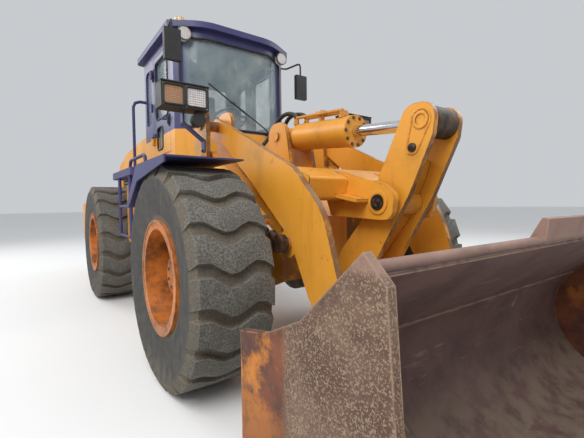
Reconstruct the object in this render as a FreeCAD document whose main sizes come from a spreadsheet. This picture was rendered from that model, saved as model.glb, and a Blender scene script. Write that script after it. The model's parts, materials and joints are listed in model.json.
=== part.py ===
import FreeCAD, Part
import math
import os
import re
import Sketcher
from FreeCAD import Placement, Rotation, Vector

# Articulated wheel loader, straight, boom down, bucket flat on the ground.
# +X forward, +Y the machine's left, +Z up; the origin is on the ground under the middle of the whole.
doc = FreeCAD.newDocument("WheelLoader")
sheet = doc.addObject("Spreadsheet::Sheet", "Sizes")

# Driving dimensions in millimetres. Lengths along the machine count from the front axle up to the boom
# and bucket, from the articulation for rear_front, cab, doors and steps, and from the rear axle for hood
# and counterweight, backwards being negative. Heights count from the ground.
SIZES = {
    # Whole machine
    "wheelbase": 2850, "bucket_reach": 2450, "rear_overhang": 1750, "track_half": 925,
    "pin_gap": 0.1, "side_gap": 10, "seam": 6,
    # Tyres and rims
    "tyre_radius": 690, "tyre_half_width": 240, "groove_depth": 32, "lug_count": 20, "lug_length": 146,
    "lug_sunk": 22, "shoulder_drop": 70, "bead_radius": 318, "flange_radius": 358, "flange_half": 196,
    "rim_wall": 18, "seat_gap": 0.3, "rim_disc": 20, "hub_radius": 175, "hub_cap_radius": 118,
    "hub_out": 120, "hub_in": 120,
    # Axles
    "axle_radius": 115, "axle_end_radius": 150, "axle_case_radius": 215, "axle_pad_top": 846,
    "axle_pad_half": 130, "axle_gap": 0.3,
    # Articulation
    "hitch_pin_radius": 40, "hitch_ear_radius": 125, "hitch_top": 1000, "hitch_low": 520, "hitch_plate": 36,
    "hitch_gap": 6, "hitch_span": 54,
    # Front frame
    "frame_inside": 450, "frame_plate": 30, "tower_inside": 650, "tower_plate": 30, "deck_plate": 20,
    "frame_back": 275, "frame_rear": "=frame_back - wheelbase / 2", "frame_front": 402,
    # Boom
    "boom_pivot_x": -400, "boom_pivot_z": 1750, "boom_pivot_pin": 40, "boom_inside": 500,
    "boom_plate": 40, "boom_end_radius": 115, "bucket_pivot_x": 1220, "bucket_pivot_z": 270,
    "bucket_pin": 35, "bucket_eye_radius": 82, "lift_cap": 22, "rocker_pin_x": 950, "rocker_pin_z": 1140,
    "rocker_pin_radius": 42, "ear_inside": 160, "ear_plate": 40, "beam_wall": 16,
    # Lift cylinders
    "lift_base_x": -380, "lift_base_z": 1500, "lift_eye_x": 560, "lift_eye_z": 905, "lift_line": 595,
    "lift_radius": 50, "lift_rod_radius": 27, "lift_pin": 25, "lift_barrel": 930, "lift_eye_radius": 55,
    # Tilt cylinder, rocker and link
    "tilt_base_x": -170, "tilt_base_z": 1680, "tilt_radius": 112, "tilt_rod_radius": 36, "tilt_pin": 35,
    "tilt_barrel": 760, "tilt_gland": 50, "tilt_eye_radius": 82, "rocker_top_x": 1170,
    "rocker_top_z": 1560, "rocker_low_x": 580, "rocker_low_z": 480, "rocker_inside": 95,
    "rocker_plate": 32, "link_half": 60, "link_pin": 32, "link_eye_radius": 75, "link_end_x": 1190,
    "link_end_z": 570,
    # Bucket
    "bucket_half": 1240, "bucket_side": 25, "bucket_shell": 24, "bucket_back_radius": 400,
    "lip_x": 1800, "lip_z": 1000, "lip_radius": 16, "edge_depth": 220, "edge_thick": 28,
    "bucket_heel": 570, "bucket_ear": 30, "ear_gap": 15,
    # Steering cylinders
    "steer_frame_x": 360, "steer_frame_y": 300, "steer_base_x": -500, "steer_base_y": 400,
    "steer_height": 760, "steer_radius": 38, "steer_rod_radius": 20, "steer_barrel": 540, "steer_eye_radius": 34,
    "steer_pin": 20, "steer_sunk": 262,
    # Front fenders and lamps
    "fender_in": 700, "fender_out": 1182, "fender_top": 1412, "fender_plate": 10, "fender_front": 330,
    "lamp_x": -285, "lamp_y": 858, "lamp_z": 1900, "lamp_width": 340, "lamp_height": 168, "lamp_depth": 150,
    "lamp_wall": 8, "lamp_split": 165, "arm_plate": 12,
    # Rear frame, hood and counterweight
    "rear_inside": 380, "rear_plate": 30, "rear_front": -325, "gearbox_front": -550,
    "hood_half": 560, "hood_wall": 30, "hood_gap": 70, "hood_rear": -1480, "hood_floor": 1060,
    "slat_pitch": 46, "weight_half": 1080, "weight_front": -1230, "weight_top": 1180, "weight_low": 620,
    "tow_bore": 20, "tow_gap": 60, "tow_plate": 30, "tow_height": 760,
    # Cab
    "cab_half": 620, "cab_wall": 50, "cab_low": 1430, "cab_floor": 70, "cab_top": 2810, "cab_rear": -875,
    "cab_corner": 225, "cab_nose": 375, "nose_half": 360, "nose_bend": 420, "roof_rise": 90, "roof_crown": 34,
    "roof_over": 60, "door_rear": -445, "door_front": 105, "door_low": 1670, "door_high": 2730, "glass": 10,
    "glass_depth": 18, "sill_z": 1890, "belt_z": 2050, "window_top": 2660, "screen_top": 2730,
    "screen_edge": 255, "hinge_back": 5, "hinge_out": 12, "wheel_ring": 190,
    # Platforms, rails and tanks
    "step_gap": 2, "step_out": 1000, "step_top": 1500, "step_plate": 70, "step_front": 125,
    "rail_radius": 17, "rail_bend": 70, "tank_out": 890, "tank_in": 500, "tank_low": 740,
    "tank_front": -75, "tank_gap": 100, "ladder_front": -25, "ladder_low": 830,
}
for row, (alias, number) in enumerate(SIZES.items(), start=1):
    sheet.set("A%d" % row, alias)
    sheet.set("B%d" % row, str(number))
    sheet.setAlias("B%d" % row, alias)
doc.recompute()

# Places of the axles and of the articulation along X
FRONT = "(wheelbase + rear_overhang - bucket_reach) / 2"
REAR = FRONT + " - wheelbase"
HITCH = FRONT + " - wheelbase / 2"
WORDS = re.compile(r"[a-z_]+")


def refer(text):
    """A formula in size names, as an expression on the sheet."""
    return WORDS.sub(lambda word: "Sizes." + word.group() if word.group() in SIZES else word.group(), str(text))


def value(text):
    """The number that a formula gives now."""
    return float(sheet.evalExpression(refer(text)))


def bind(thing, **formulas):
    """Ties properties of an object to formulas on the sheet."""
    for name, text in formulas.items():
        thing.setExpression(name.replace("__", "."), refer(text))
    return thing


def at(thing, x="0", y="0", z="0"):
    """Ties an object's place to formulas."""
    return bind(thing, Placement__Base__x=x, Placement__Base__y=y, Placement__Base__z=z)


def plane_of(body, role):
    """One of a body's own origin planes."""
    return [plane for plane in body.Origin.OriginFeatures if plane.Role == role][0]


def draw(sketch, corners, holes):
    """Closed outline through corners (u, v) and round holes (u, v, radius), each held by its formulas."""
    spots = [Vector(value(corner[0]), value(corner[1]), 0) for corner in corners]
    count = len(spots)
    for index in range(count):
        sketch.addGeometry(Part.LineSegment(spots[index], spots[(index + 1) % count]), False)
    rules = [Sketcher.Constraint("Coincident", index, 2, (index + 1) % count, 1) for index in range(count)]
    for index, spot in enumerate(spots):
        rules.append(Sketcher.Constraint("DistanceX", index, 1, spot.x))
        rules.append(Sketcher.Constraint("DistanceY", index, 1, spot.y))
    for index, hole in enumerate(holes):
        centre = Vector(value(hole[0]), value(hole[1]), 0)
        sketch.addGeometry(Part.Circle(centre, Vector(0, 0, 1), value(hole[2])), False)
        rules.append(Sketcher.Constraint("DistanceX", count + index, 3, centre.x))
        rules.append(Sketcher.Constraint("DistanceY", count + index, 3, centre.y))
        rules.append(Sketcher.Constraint("Radius", count + index, value(hole[2])))
    sketch.addConstraint(rules)
    formulas = [text for corner in corners for text in corner[:2]] + [text for hole in holes for text in hole]
    for index, text in enumerate(formulas):
        sketch.setExpression("Constraints[%d]" % (count + index), refer(text))


def corner_edges(shape, plane, spot):
    """Names of the edges that run along the pad at one corner of its outline."""
    axes = {"XY_Plane": (0, 1), "XZ_Plane": (0, 2), "YZ_Plane": (1, 2)}[plane]
    names = []
    for number, edge in enumerate(shape.Edges, start=1):
        ends = [vertex.Point for vertex in edge.Vertexes]
        close = [abs(end[axes[0]] - spot[0]) < 0.01 and abs(end[axes[1]] - spot[1]) < 0.01 for end in ends]
        if len(ends) == 2 and all(close):
            names.append("Edge%d" % number)
    return names


def plate(name, plane, corners, start, thickness, holes=(), datum=None):
    """A padded outline. Corners are (u, v) or (u, v, rounding). On XZ it grows from start towards -Y."""
    if datum:
        corners = [(datum + " + " + corner[0],) + tuple(corner[1:]) for corner in corners]
        holes = [(datum + " + " + hole[0], hole[1], hole[2]) for hole in holes]
    body = doc.addObject("PartDesign::Body", name)
    sketch = body.newObject("Sketcher::SketchObject", name + "_outline")
    sketch.AttachmentSupport = [(plane_of(body, plane), "")]
    sketch.MapMode = "FlatFace"
    sign = "-1 * " if plane == "XZ_Plane" else ""
    sketch.setExpression("AttachmentOffset.Base.z", refer("%s(%s)" % (sign, start)))
    draw(sketch, corners, holes)
    pad = body.newObject("PartDesign::Pad", name + "_pad")
    pad.Profile = sketch
    bind(pad, Length=thickness)
    doc.recompute()
    rounded = [corner for corner in corners if len(corner) > 2]
    feature = pad
    for radius in sorted({corner[2] for corner in rounded}):
        edges = []
        for corner in rounded:
            if corner[2] == radius:
                edges += corner_edges(feature.Shape, plane, (value(corner[0]), value(corner[1])))
        fillet = body.newObject("PartDesign::Fillet", name + "_round")
        fillet.Base = (feature, edges)
        bind(fillet, Radius=radius)
        doc.recompute()
        feature = fillet
    return body


def turned(name, profile, plane="YZ_Plane", axis="H_Axis"):
    """A profile (along, radius) turned about the Y axis, or on XZ about the Z axis as (radius, height)."""
    body = doc.addObject("PartDesign::Body", name)
    sketch = body.newObject("Sketcher::SketchObject", name + "_profile")
    sketch.AttachmentSupport = [(plane_of(body, plane), "")]
    sketch.MapMode = "FlatFace"
    draw(sketch, profile, ())
    turn = body.newObject("PartDesign::Revolution", name + "_turn")
    turn.Profile = sketch
    turn.ReferenceAxis = (sketch, [axis])
    turn.Angle = 360
    doc.recompute()
    return body


def block(name, low, size):
    """A box from its low corner (x, y, z) with its size (x, y, z)."""
    thing = doc.addObject("Part::Box", name)
    bind(thing, Length=size[0], Width=size[1], Height=size[2])
    return at(thing, *low)


def rod(name, base, length, radius, along="y"):
    """A cylinder from its base point along +x, +y or +z."""
    thing = doc.addObject("Part::Cylinder", name)
    turns = {"x": Rotation(Vector(0, 1, 0), 90), "y": Rotation(Vector(1, 0, 0), -90), "z": Rotation()}
    thing.Placement = Placement(Vector(), turns[along])
    bind(thing, Height=length, Radius=radius)
    return at(thing, *base)


def mirrored(thing):
    """The same piece on the machine's other side."""
    twin = doc.addObject("Part::Mirroring", thing.Name + "_twin")
    twin.Source = thing
    twin.Normal = Vector(0, 1, 0)
    return twin


def pair(thing):
    """A piece and its twin."""
    return [thing, mirrored(thing)]


def joined(name, things):
    """Pieces welded into one."""
    whole = doc.addObject("Part::MultiFuse", name)
    whole.Shapes = things
    return whole


def less(name, base, tool):
    """One piece cut by another."""
    rest = doc.addObject("Part::Cut", name)
    rest.Base = base
    rest.Tool = tool
    return rest


def facets(rings, closed=False):
    """A solid whose flat faces join one ring of points to the next."""
    faces = []
    for before, after in zip(rings, rings[1:] + rings[:1] if closed else rings[1:]):
        for index in range(len(before)):
            ahead = (index + 1) % len(before)
            corners = [before[index], before[ahead], after[ahead], after[index]]
            faces.append(Part.Face(Part.makePolygon(corners + corners[:1])))
    if not closed:
        faces += [Part.Face(Part.makePolygon(ring + ring[:1])) for ring in (rings[0], rings[-1])]
    solid = Part.makeSolid(Part.makeShell(faces))
    if solid.Volume < 0:
        solid.reverse()
    return solid


def bent(points, radius):
    """The points of a line with each corner replaced by three points on an arc."""
    path = [points[0]]
    for before, corner, after in zip(points, points[1:], points[2:]):
        back = (before - corner).normalize()
        ahead = (after - corner).normalize()
        half = back.getAngle(ahead) / 2
        middle = corner + (back + ahead).normalize() * (radius / math.sin(half) - radius)
        reach = radius / math.tan(half)
        path += [corner + back * reach, middle, corner + ahead * reach]
    return path + [points[-1]]


def mitred(path, radius, sides):
    """A bar of flat sides along a path, with one ring of points on the mitre plane of each corner."""
    along = (path[1] - path[0]).normalize()
    first = along.cross(Vector(0.31, 0.17, 1)).normalize()
    second = along.cross(first)
    turns = [2 * math.pi * index / sides for index in range(sides)]
    ring = [path[0] + (first * math.cos(turn) + second * math.sin(turn)) * radius for turn in turns]
    rings = [ring]
    for index in range(1, len(path)):
        along = (path[index] - path[index - 1]).normalize()
        ahead = (path[index + 1] - path[index]).normalize() if index < len(path) - 1 else along
        normal = (along + ahead).normalize()
        ring = [spot + along * (normal.dot(path[index] - spot) / normal.dot(along)) for spot in ring]
        rings.append(ring)
    return facets(rings)


def tube(name, datum, stations, radius="rail_radius", bend="rail_bend", sides=8):
    """A bent bar along stations (x, y, z), with x counted from the datum."""
    points = [Vector(value(datum + " + " + x), value(y), value(z)) for x, y, z in stations]
    thing = doc.addObject("Part::Feature", name)
    thing.Shape = mitred(bent(points, value(bend)), value(radius), sides)
    return thing


def aimed(things, start, stop, line):
    """Turns pieces modelled along +X from the origin so that they point from start to stop (x, z)."""
    reach = Vector(value(stop[0]) - value(start[0]), 0, value(stop[1]) - value(start[1]))
    turn = Rotation(Vector(1, 0, 0), reach)
    move = Placement(Vector(value(FRONT) + value(start[0]), value(line), value(start[1])), turn)
    for thing in things:
        thing.Placement = move.multiply(thing.Placement)
    return things


def away(start, stop):
    """The distance between two points (x, z), as a formula."""
    return "sqrt((%s - (%s))^2 + (%s - (%s))^2)" % (stop[0], start[0], stop[1], start[1])


nodes = {}


def keep(name, thing):
    """Names a finished sub-part."""
    thing.Label = name
    nodes[name] = thing


def front(x):
    """A place along the machine from the front axle."""
    return FRONT + " + " + x


def hitch(x):
    """A place along the machine from the articulation."""
    return HITCH + " + " + x


def rear(x):
    """A place along the machine from the rear axle."""
    return REAR + " + " + x


def tyre_shape():
    """A carcass of flat sectors, two to a lug, with lugs that slant across the tread and over the shoulders."""
    radius, half, count = value("tyre_radius"), value("tyre_half_width"), int(value("lug_count"))
    floor, shoulder = radius - value("groove_depth"), radius - value("shoulder_drop")
    bead, wide = value("bead_radius") / math.cos(math.pi / 2 / count), value("flange_half - seat_gap")
    flange = value("flange_radius") + 4
    outline = [(-wide, bead), (wide, bead), (wide, flange), (half, shoulder), (half - 32, floor),
               (32 - half, floor), (-half, shoulder), (-wide, flange)]
    turns = [math.pi * (index + 0.5) / count for index in range(2 * count)]
    rings = [[Vector(out * math.sin(turn), y, out * math.cos(turn)) for y, out in outline] for turn in turns]
    carcass = facets(rings, True)
    reach, foot = value("lug_length") / 2, shoulder - value("lug_sunk")
    # Stations across the tread: place of the foot, place of the top, height, shift along the tread
    stations = [(8 - half, -half, shoulder, 0), (30 - half, 30 - half, radius, 0),
                (half - 30, half - 30, radius, 20), (half - 8, half, shoulder, 20)]
    rings = [[Vector(shift - reach, low, foot), Vector(shift + reach, low, foot),
              Vector(shift + reach, y, high), Vector(shift - reach, y, high)] for low, y, high, shift in stations]
    lug = facets(rings)
    lugs = []
    for index in range(count):
        turned_lug = lug.copy()
        turned_lug.rotate(Vector(), Vector(0, 1, 0), 360 * index / count)
        lugs.append(turned_lug)
    return carcass.multiFuse(lugs).removeSplitter()


def wheel_places():
    return [("front_right", FRONT, -1), ("front_left", FRONT, 1), ("rear_right", REAR, -1), ("rear_left", REAR, 1)]


# Rim, hub and disc in one turning: along the axle with the outside negative, then the radius
RIM_PROFILE = [
    ("-1 * hub_out", "0"), ("-1 * hub_out", "hub_cap_radius"), ("50 - hub_out", "hub_cap_radius + 20"),
    ("50 - hub_out", "hub_radius"), ("rim_disc", "hub_radius"), ("rim_disc", "bead_radius - rim_wall"),
    ("-1 * flange_half - rim_wall", "bead_radius - rim_wall"), ("-1 * flange_half - rim_wall", "flange_radius"),
    ("-1 * flange_half", "flange_radius"), ("-1 * flange_half", "bead_radius - seat_gap"),
    ("flange_half", "bead_radius - seat_gap"), ("flange_half", "flange_radius"),
    ("flange_half + rim_wall", "flange_radius"), ("flange_half + rim_wall", "bead_radius - rim_wall"),
    ("rim_disc + rim_wall", "bead_radius - rim_wall"), ("rim_disc + rim_wall", "hub_radius"),
    ("hub_in", "hub_radius"), ("hub_in", "0")]

tread = tyre_shape()
for place, axle_x, side in wheel_places():
    tyre = doc.addObject("Part::Feature", "tyre_" + place)
    tyre.Shape = tread
    if side > 0:
        tyre.Placement = Placement(Vector(), Rotation(Vector(0, 0, 1), 180))
    at(tyre, axle_x, "%d * track_half" % side, "tyre_radius")
    keep("tyre_" + place, tyre)
    rim = turned("rim_" + place, RIM_PROFILE)
    if side > 0:
        rim.Placement = Placement(Vector(), Rotation(Vector(0, 0, 1), 180))
    at(rim, axle_x, "%d * track_half" % side, "tyre_radius")
    keep("rim_" + place, rim)


# Axles: a tapered case with a bowl in the middle and a pad under each frame plate
def axle(name, centre, nose_from):
    end = "(track_half - hub_in - axle_gap)"
    profile = [("-1 * " + end, "0"), ("-1 * " + end, "axle_end_radius"), ("45 - " + end, "axle_end_radius"),
               ("60 - " + end, "axle_radius"), ("-200", "axle_radius"), ("-110", "axle_case_radius"),
               ("110", "axle_case_radius"), ("200", "axle_radius"), (end + " - 60", "axle_radius"),
               (end + " - 45", "axle_end_radius"), (end, "axle_end_radius"), (end, "0")]
    case = at(turned(name + "_case", profile), centre, "0", "tyre_radius")
    pad = block(name + "_pad", (centre + " - axle_pad_half", "frame_inside - 60", "tyre_radius"),
                ("2 * axle_pad_half", "120", "axle_pad_top - tyre_radius"))
    nose = rod(name + "_nose", (centre + nose_from, "0", "tyre_radius + 20"), "300", "70", "x")
    keep(name, joined(name, [case, nose] + pair(pad)))


axle("front_axle", FRONT, " - 300")
axle("rear_axle", REAR, " + 0")


def front_frame():
    """Two side plates that rise to towers, tied by cross plates, with the hitch ears behind."""
    side = plate("front_side", "XZ_Plane", [
        ("frame_rear", "500"), ("-300", "600"), ("-210", "axle_pad_top"), ("210", "axle_pad_top"),
        ("300", "600"), ("frame_front", "640"), ("frame_front", "1080"), ("240", "1230", "60"),
        ("-40", "1330"), ("boom_pivot_x + 140", "1480"), ("boom_pivot_x + 120", "boom_pivot_z + 118", "90"),
        ("boom_pivot_x - 120", "boom_pivot_z + 118", "90"), ("boom_pivot_x - 170", "1400", "60"),
        ("frame_rear", "1080", "60")], "frame_inside + frame_plate", "frame_plate",
        datum=FRONT)
    tower = plate("front_tower", "XZ_Plane", [
        ("boom_pivot_x - 150", "1360"), ("boom_pivot_x + 60", "1360", "20"),
        ("boom_pivot_x + 112", "lift_base_z + 40"), ("boom_pivot_x + 112", "boom_pivot_z + 118", "90"),
        ("boom_pivot_x - 112", "boom_pivot_z + 118", "90")], "tower_inside + tower_plate", "tower_plate",
        datum=FRONT)
    sill = block("front_sill", (front("boom_pivot_x - 150"), "frame_inside + frame_plate", "1360"),
                 ("210", "tower_inside - frame_inside - frame_plate", "40"))
    boom_pin = rod("boom_pin", (front("boom_pivot_x"), "frame_inside - 20", "boom_pivot_z"),
                   "tower_inside + tower_plate - frame_inside + 32", "boom_pivot_pin")
    lift_pin = rod("lift_base_pin", (front("lift_base_x"), "lift_line - 35", "lift_base_z"),
                   "tower_inside + tower_plate - lift_line + 47", "lift_pin")
    sides = []
    for piece in (side, tower, sill, boom_pin, lift_pin):
        sides += pair(piece)
    inside = "2 * frame_inside"
    beam = plate("tower_beam", "XZ_Plane", [
        ("-500", "1290"), ("-60", "1290"), ("-60", "1420"), ("-500", "1420")], "frame_inside", inside, datum=FRONT)
    deck = plate("front_deck", "XZ_Plane", [
        ("-60", "1290"), ("-60", "1310"), ("240", "1200"), ("frame_front", "1050"),
        ("frame_front", "1024"), ("234", "1180")], "frame_inside", inside, datum=FRONT)
    nose = block("front_nose", (front("frame_front - deck_plate"), "-1 * frame_inside", "640"),
                 ("deck_plate", inside, "400"))
    back = block("front_back", (front("frame_rear"), "-1 * frame_inside", "steer_height + 80"),
                 ("deck_plate", inside, "180"))
    floor = block("front_floor", (front("frame_rear"), "-1 * frame_inside", "560"), ("820", inside, "deck_plate"))
    ears = []
    for level in ("hitch_top", "hitch_low"):
        ears.append(plate("front_" + level, "XY_Plane", [
            ("frame_rear + 60", "-1 * frame_inside"), ("frame_rear + 60", "frame_inside"),
            ("frame_rear", "frame_inside"), ("-wheelbase / 2 - hitch_ear_radius", "hitch_ear_radius", "110"),
            ("-wheelbase / 2 - hitch_ear_radius", "-1 * hitch_ear_radius", "110"),
            ("frame_rear", "-1 * frame_inside")], level + " - hitch_plate / 2", "hitch_plate",
            holes=[("-wheelbase / 2", "0", "hitch_pin_radius + pin_gap")], datum=FRONT))
    tilt_ear = plate("tilt_ear", "XZ_Plane", [
        ("tilt_base_x - 170", "1400"), ("tilt_base_x + 190", "1400"),
        ("tilt_base_x + 110", "tilt_base_z + 110", "100"), ("tilt_base_x - 110", "tilt_base_z + 110", "100")],
        "rocker_inside + rocker_plate", "rocker_plate", datum=FRONT)
    tilt_pin = rod("tilt_base_pin", (front("tilt_base_x"), "-1 * (rocker_inside + rocker_plate + 14)", "tilt_base_z"),
                   "2 * (rocker_inside + rocker_plate + 14)", "tilt_pin")
    steer_ear = plate("steer_ear_front", "XY_Plane", [
        ("-wheelbase / 2 + steer_frame_x - 45", "steer_frame_y - 45", "40"),
        ("-wheelbase / 2 + steer_frame_x - 45", "steer_frame_y + 45", "40"),
        ("frame_rear + 120", "frame_inside"), ("frame_rear + 260", "frame_inside"),
        ("frame_rear + 140", "steer_frame_y - 45")], "steer_height + 30", "24", datum=FRONT)
    steer_low = plate("steer_ear_front_low", "XY_Plane", [
        ("-wheelbase / 2 + steer_frame_x - 45", "steer_frame_y - 45", "40"),
        ("-wheelbase / 2 + steer_frame_x - 45", "steer_frame_y + 45", "40"),
        ("frame_rear + 120", "frame_inside"), ("frame_rear + 260", "frame_inside"),
        ("frame_rear + 140", "steer_frame_y - 45")], "steer_height - 54", "24", datum=FRONT)
    shaft = rod("front_shaft", (front("60 - wheelbase / 2"), "0", "tyre_radius + 20"),
                "wheelbase / 2 - 360", "42", "x")
    things = sides + [beam, deck, nose, back, floor, tilt_pin, shaft]
    keep("front_frame", joined("front_frame", things + ears + pair(tilt_ear) + pair(steer_ear) + pair(steer_low)))


front_frame()


def boom():
    """Two plates with bosses, tied by a box beam that carries the rocker's ears, and a low cross tube."""
    side = plate("boom_side", "XZ_Plane", [
        ("boom_pivot_x - boom_end_radius - 5", "boom_pivot_z + boom_end_radius + 8", "90"), ("610", "1350", "300"),
        ("870", "1100", "400"), ("1010", "680", "300"), ("1140", "430", "150"),
        ("bucket_pivot_x + 42", "bucket_pivot_z + 70"), ("bucket_pivot_x + 20", "bucket_pivot_z - 20"),
        ("bucket_pivot_x - 57", "bucket_pivot_z - 58"), ("760", "600", "300"), ("575", "935", "220"),
        ("150", "1275", "200"), ("-300", "1600", "200"), ("boom_pivot_x - boom_end_radius - 5", "1655", "80")],
        "boom_inside + boom_plate", "boom_plate",
        holes=[("boom_pivot_x", "boom_pivot_z", "boom_pivot_pin + pin_gap")], datum=FRONT)
    eye = rod("boom_eye", (front("bucket_pivot_x"), "boom_inside", "bucket_pivot_z"), "boom_plate",
              "bucket_eye_radius")
    bore = rod("boom_eye_bore", (front("bucket_pivot_x"), "boom_inside - 10", "bucket_pivot_z"),
               "boom_plate + 20", "bucket_pin + pin_gap")
    lift_boss = rod("lift_boss", (front("lift_eye_x"), "boom_inside - 30", "lift_eye_z"),
                    "boom_plate + 30", "lift_eye_radius + 30")
    lift_cap = rod("lift_cap", (front("lift_eye_x"), "boom_inside", "lift_eye_z"),
                   "boom_plate + lift_cap", "lift_pin + 15")
    beam = plate("boom_beam", "XZ_Plane", [
        ("470", "1190", "20"), ("690", "1150", "30"), ("720", "1290", "20"), ("510", "1370", "20")],
        "boom_inside", "2 * boom_inside", datum=FRONT)
    ear = plate("rocker_ear", "XZ_Plane", [
        ("500", "1210"), ("560", "1345"), ("700", "1320"), ("rocker_pin_x + 40", "rocker_pin_z + 100", "70"),
        ("rocker_pin_x + 115", "rocker_pin_z + 40", "60"), ("rocker_pin_x + 90", "rocker_pin_z - 100", "60"),
        ("760", "1050"), ("560", "1060")], "ear_inside + ear_plate", "ear_plate",
        holes=[("rocker_pin_x", "rocker_pin_z", "rocker_pin_radius + pin_gap")], datum=FRONT)
    shelf = plate("ear_shelf", "XZ_Plane", [
        ("690", "1195"), ("880", "1160"), ("876", "1140"), ("690", "1172")],
        "ear_inside + ear_plate + 90", "90", datum=FRONT)
    pieces = [beam]
    for piece in (less("boom_side_bored", joined("boom_side_whole", [side, eye]), bore), lift_boss, lift_cap, ear, shelf):
        pieces += pair(piece)
    keep("boom", joined("boom", pieces))


boom()


def rocker():
    """Two plates on a boss and a web, thrown over the boom's middle."""
    cheek = plate("rocker_cheek", "XZ_Plane", [
        ("rocker_top_x - 92", "rocker_top_z + 92", "85"), ("rocker_top_x + 92", "rocker_top_z + 92", "85"),
        ("rocker_top_x + 70", "rocker_top_z - 80", "100"), ("1100", "1180", "300"), ("930", "900", "300"),
        ("rocker_low_x + 85", "rocker_low_z - 20", "80"), ("rocker_low_x + 20", "rocker_low_z - 85", "70"),
        ("rocker_low_x - 85", "rocker_low_z - 40", "70"), ("545", "800", "200"), ("745", "1020", "200"),
        ("870", "1240", "200")], "rocker_inside + rocker_plate", "rocker_plate",
        holes=[("rocker_pin_x", "rocker_pin_z", "rocker_pin_radius + pin_gap"),
               ("rocker_low_x", "rocker_low_z", "link_pin + pin_gap")], datum=FRONT)
    boss = rod("rocker_boss", (front("rocker_pin_x"), "-1 * (ear_inside - side_gap)", "rocker_pin_z"),
               "2 * (ear_inside - side_gap)", "rocker_pin_radius + 34")
    bore = rod("rocker_bore", (front("rocker_pin_x"), "-1 * ear_inside", "rocker_pin_z"),
               "2 * ear_inside", "rocker_pin_radius + pin_gap")
    web = plate("rocker_web", "XZ_Plane", [
        ("640", "760"), ("700", "740"), ("930", "1030"), ("1050", "1270"), ("1080", "1370"),
        ("1040", "1380"), ("900", "1200"), ("780", "980")], "rocker_inside", "2 * rocker_inside", datum=FRONT)
    solid = joined("rocker_solid", [boss, web] + pair(cheek))
    keep("rocker", less("rocker", solid, bore))
    pin = rod("rocker_pin", (front("rocker_pin_x"), "-1 * (ear_inside + ear_plate + 16)", "rocker_pin_z"),
              "2 * (ear_inside + ear_plate + 16)", "rocker_pin_radius")
    keep("rocker_pin", pin)
    low = rod("link_pin", (front("rocker_low_x"), "-1 * (rocker_inside + rocker_plate + 12)", "rocker_low_z"),
              "2 * (rocker_inside + rocker_plate + 12)", "link_pin")
    keep("link_pin", low)
    # The link's plain end turns between the bucket's middle ears
    start, stop = ("rocker_low_x", "rocker_low_z"), ("link_end_x", "link_end_z")
    reach = away(start, stop)
    bar = plate("link_bar", "XZ_Plane", [
        ("-1 * link_eye_radius", "link_eye_radius", "70"), (reach + " * 0.5", "55"),
        (reach + " + link_eye_radius", "link_eye_radius", "70"),
        (reach + " + link_eye_radius", "-1 * link_eye_radius", "70"), (reach + " * 0.5", "-55"),
        ("-1 * link_eye_radius", "-1 * link_eye_radius", "70")], "link_half", "2 * link_half",
        holes=[("0", "0", "link_pin + pin_gap")])
    aimed([bar], start, stop, "0")
    keep("link", bar)


rocker()


def ram(name, start, stop, line, barrel, radius, rod_radius, eye, eye_half, base_pin, gland, sunk, throat):
    """A cylinder's barrel and rod, modelled along +X: base eye, tube, gland, rod with its piston and eye."""
    length = away(start, stop)
    base = rod(name + "_base", ("0", "-1 * (%s)" % eye_half, "0"), "2 * (%s)" % eye_half, eye)
    bore = rod(name + "_base_bore", ("0", "-2 * (%s)" % eye_half, "0"), "4 * (%s)" % eye_half, base_pin + " + pin_gap")
    outer = rod(name + "_tube", (throat, "0", "0"), "%s - %s" % (barrel, throat), radius, "x")
    neck = rod(name + "_neck", (eye + " * 0.6", "0", "0"), "%s - %s * 0.6" % (throat, eye), "(%s) * 0.7" % radius, "x")
    inner = rod(name + "_inside", (throat + " + 40", "0", "0"), "%s - %s - 80" % (barrel, throat), radius + " - 12",
                "x")
    way = rod(name + "_way", (throat + " + 40", "0", "0"), barrel, rod_radius + " + seat_gap", "x")
    collar = rod(name + "_collar", (barrel + " - " + gland, "0", "0"), gland, radius + " + 4", "x")
    body = joined(name + "_body", [base, neck, outer, collar])
    voids = joined(name + "_voids", [bore, inner, way])
    tube_piece = less(name + "_barrel", body, voids)
    stem = rod(name + "_stem", (sunk, "0", "0"), "%s - %s - %s * 0.5" % (length, sunk, eye), rod_radius, "x")
    piston = rod(name + "_piston", (sunk, "0", "0"), "26", radius + " - 13", "x")
    tip = rod(name + "_tip", (length, "-1 * (%s)" % eye_half, "0"), "2 * (%s)" % eye_half, eye)
    rod_piece = joined(name + "_rod", [stem, piston, tip])
    return aimed([tube_piece, rod_piece], start, stop, line)


def cylinders():
    """One tilt cylinder on the centre line and a lift cylinder outside each boom plate."""
    tilt = ram("tilt", ("tilt_base_x", "tilt_base_z"), ("rocker_top_x", "rocker_top_z"), "0", "tilt_barrel",
               "tilt_radius - 10", "tilt_rod_radius", "tilt_eye_radius", "rocker_inside - side_gap / 2",
               "tilt_pin", "tilt_gland", "420", "165")
    keep("tilt_barrel", tilt[0])
    keep("tilt_rod", tilt[1])
    lift = ram("lift", ("lift_base_x", "lift_base_z"), ("lift_eye_x", "lift_eye_z"), "lift_line", "lift_barrel",
               "lift_radius - 4", "lift_rod_radius", "lift_eye_radius", "24", "lift_pin", "40", "160", "60")
    keep("lift_barrels", joined("lift_barrels", pair(lift[0])))
    keep("lift_rods", joined("lift_rods", pair(lift[1])))


cylinders()


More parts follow.
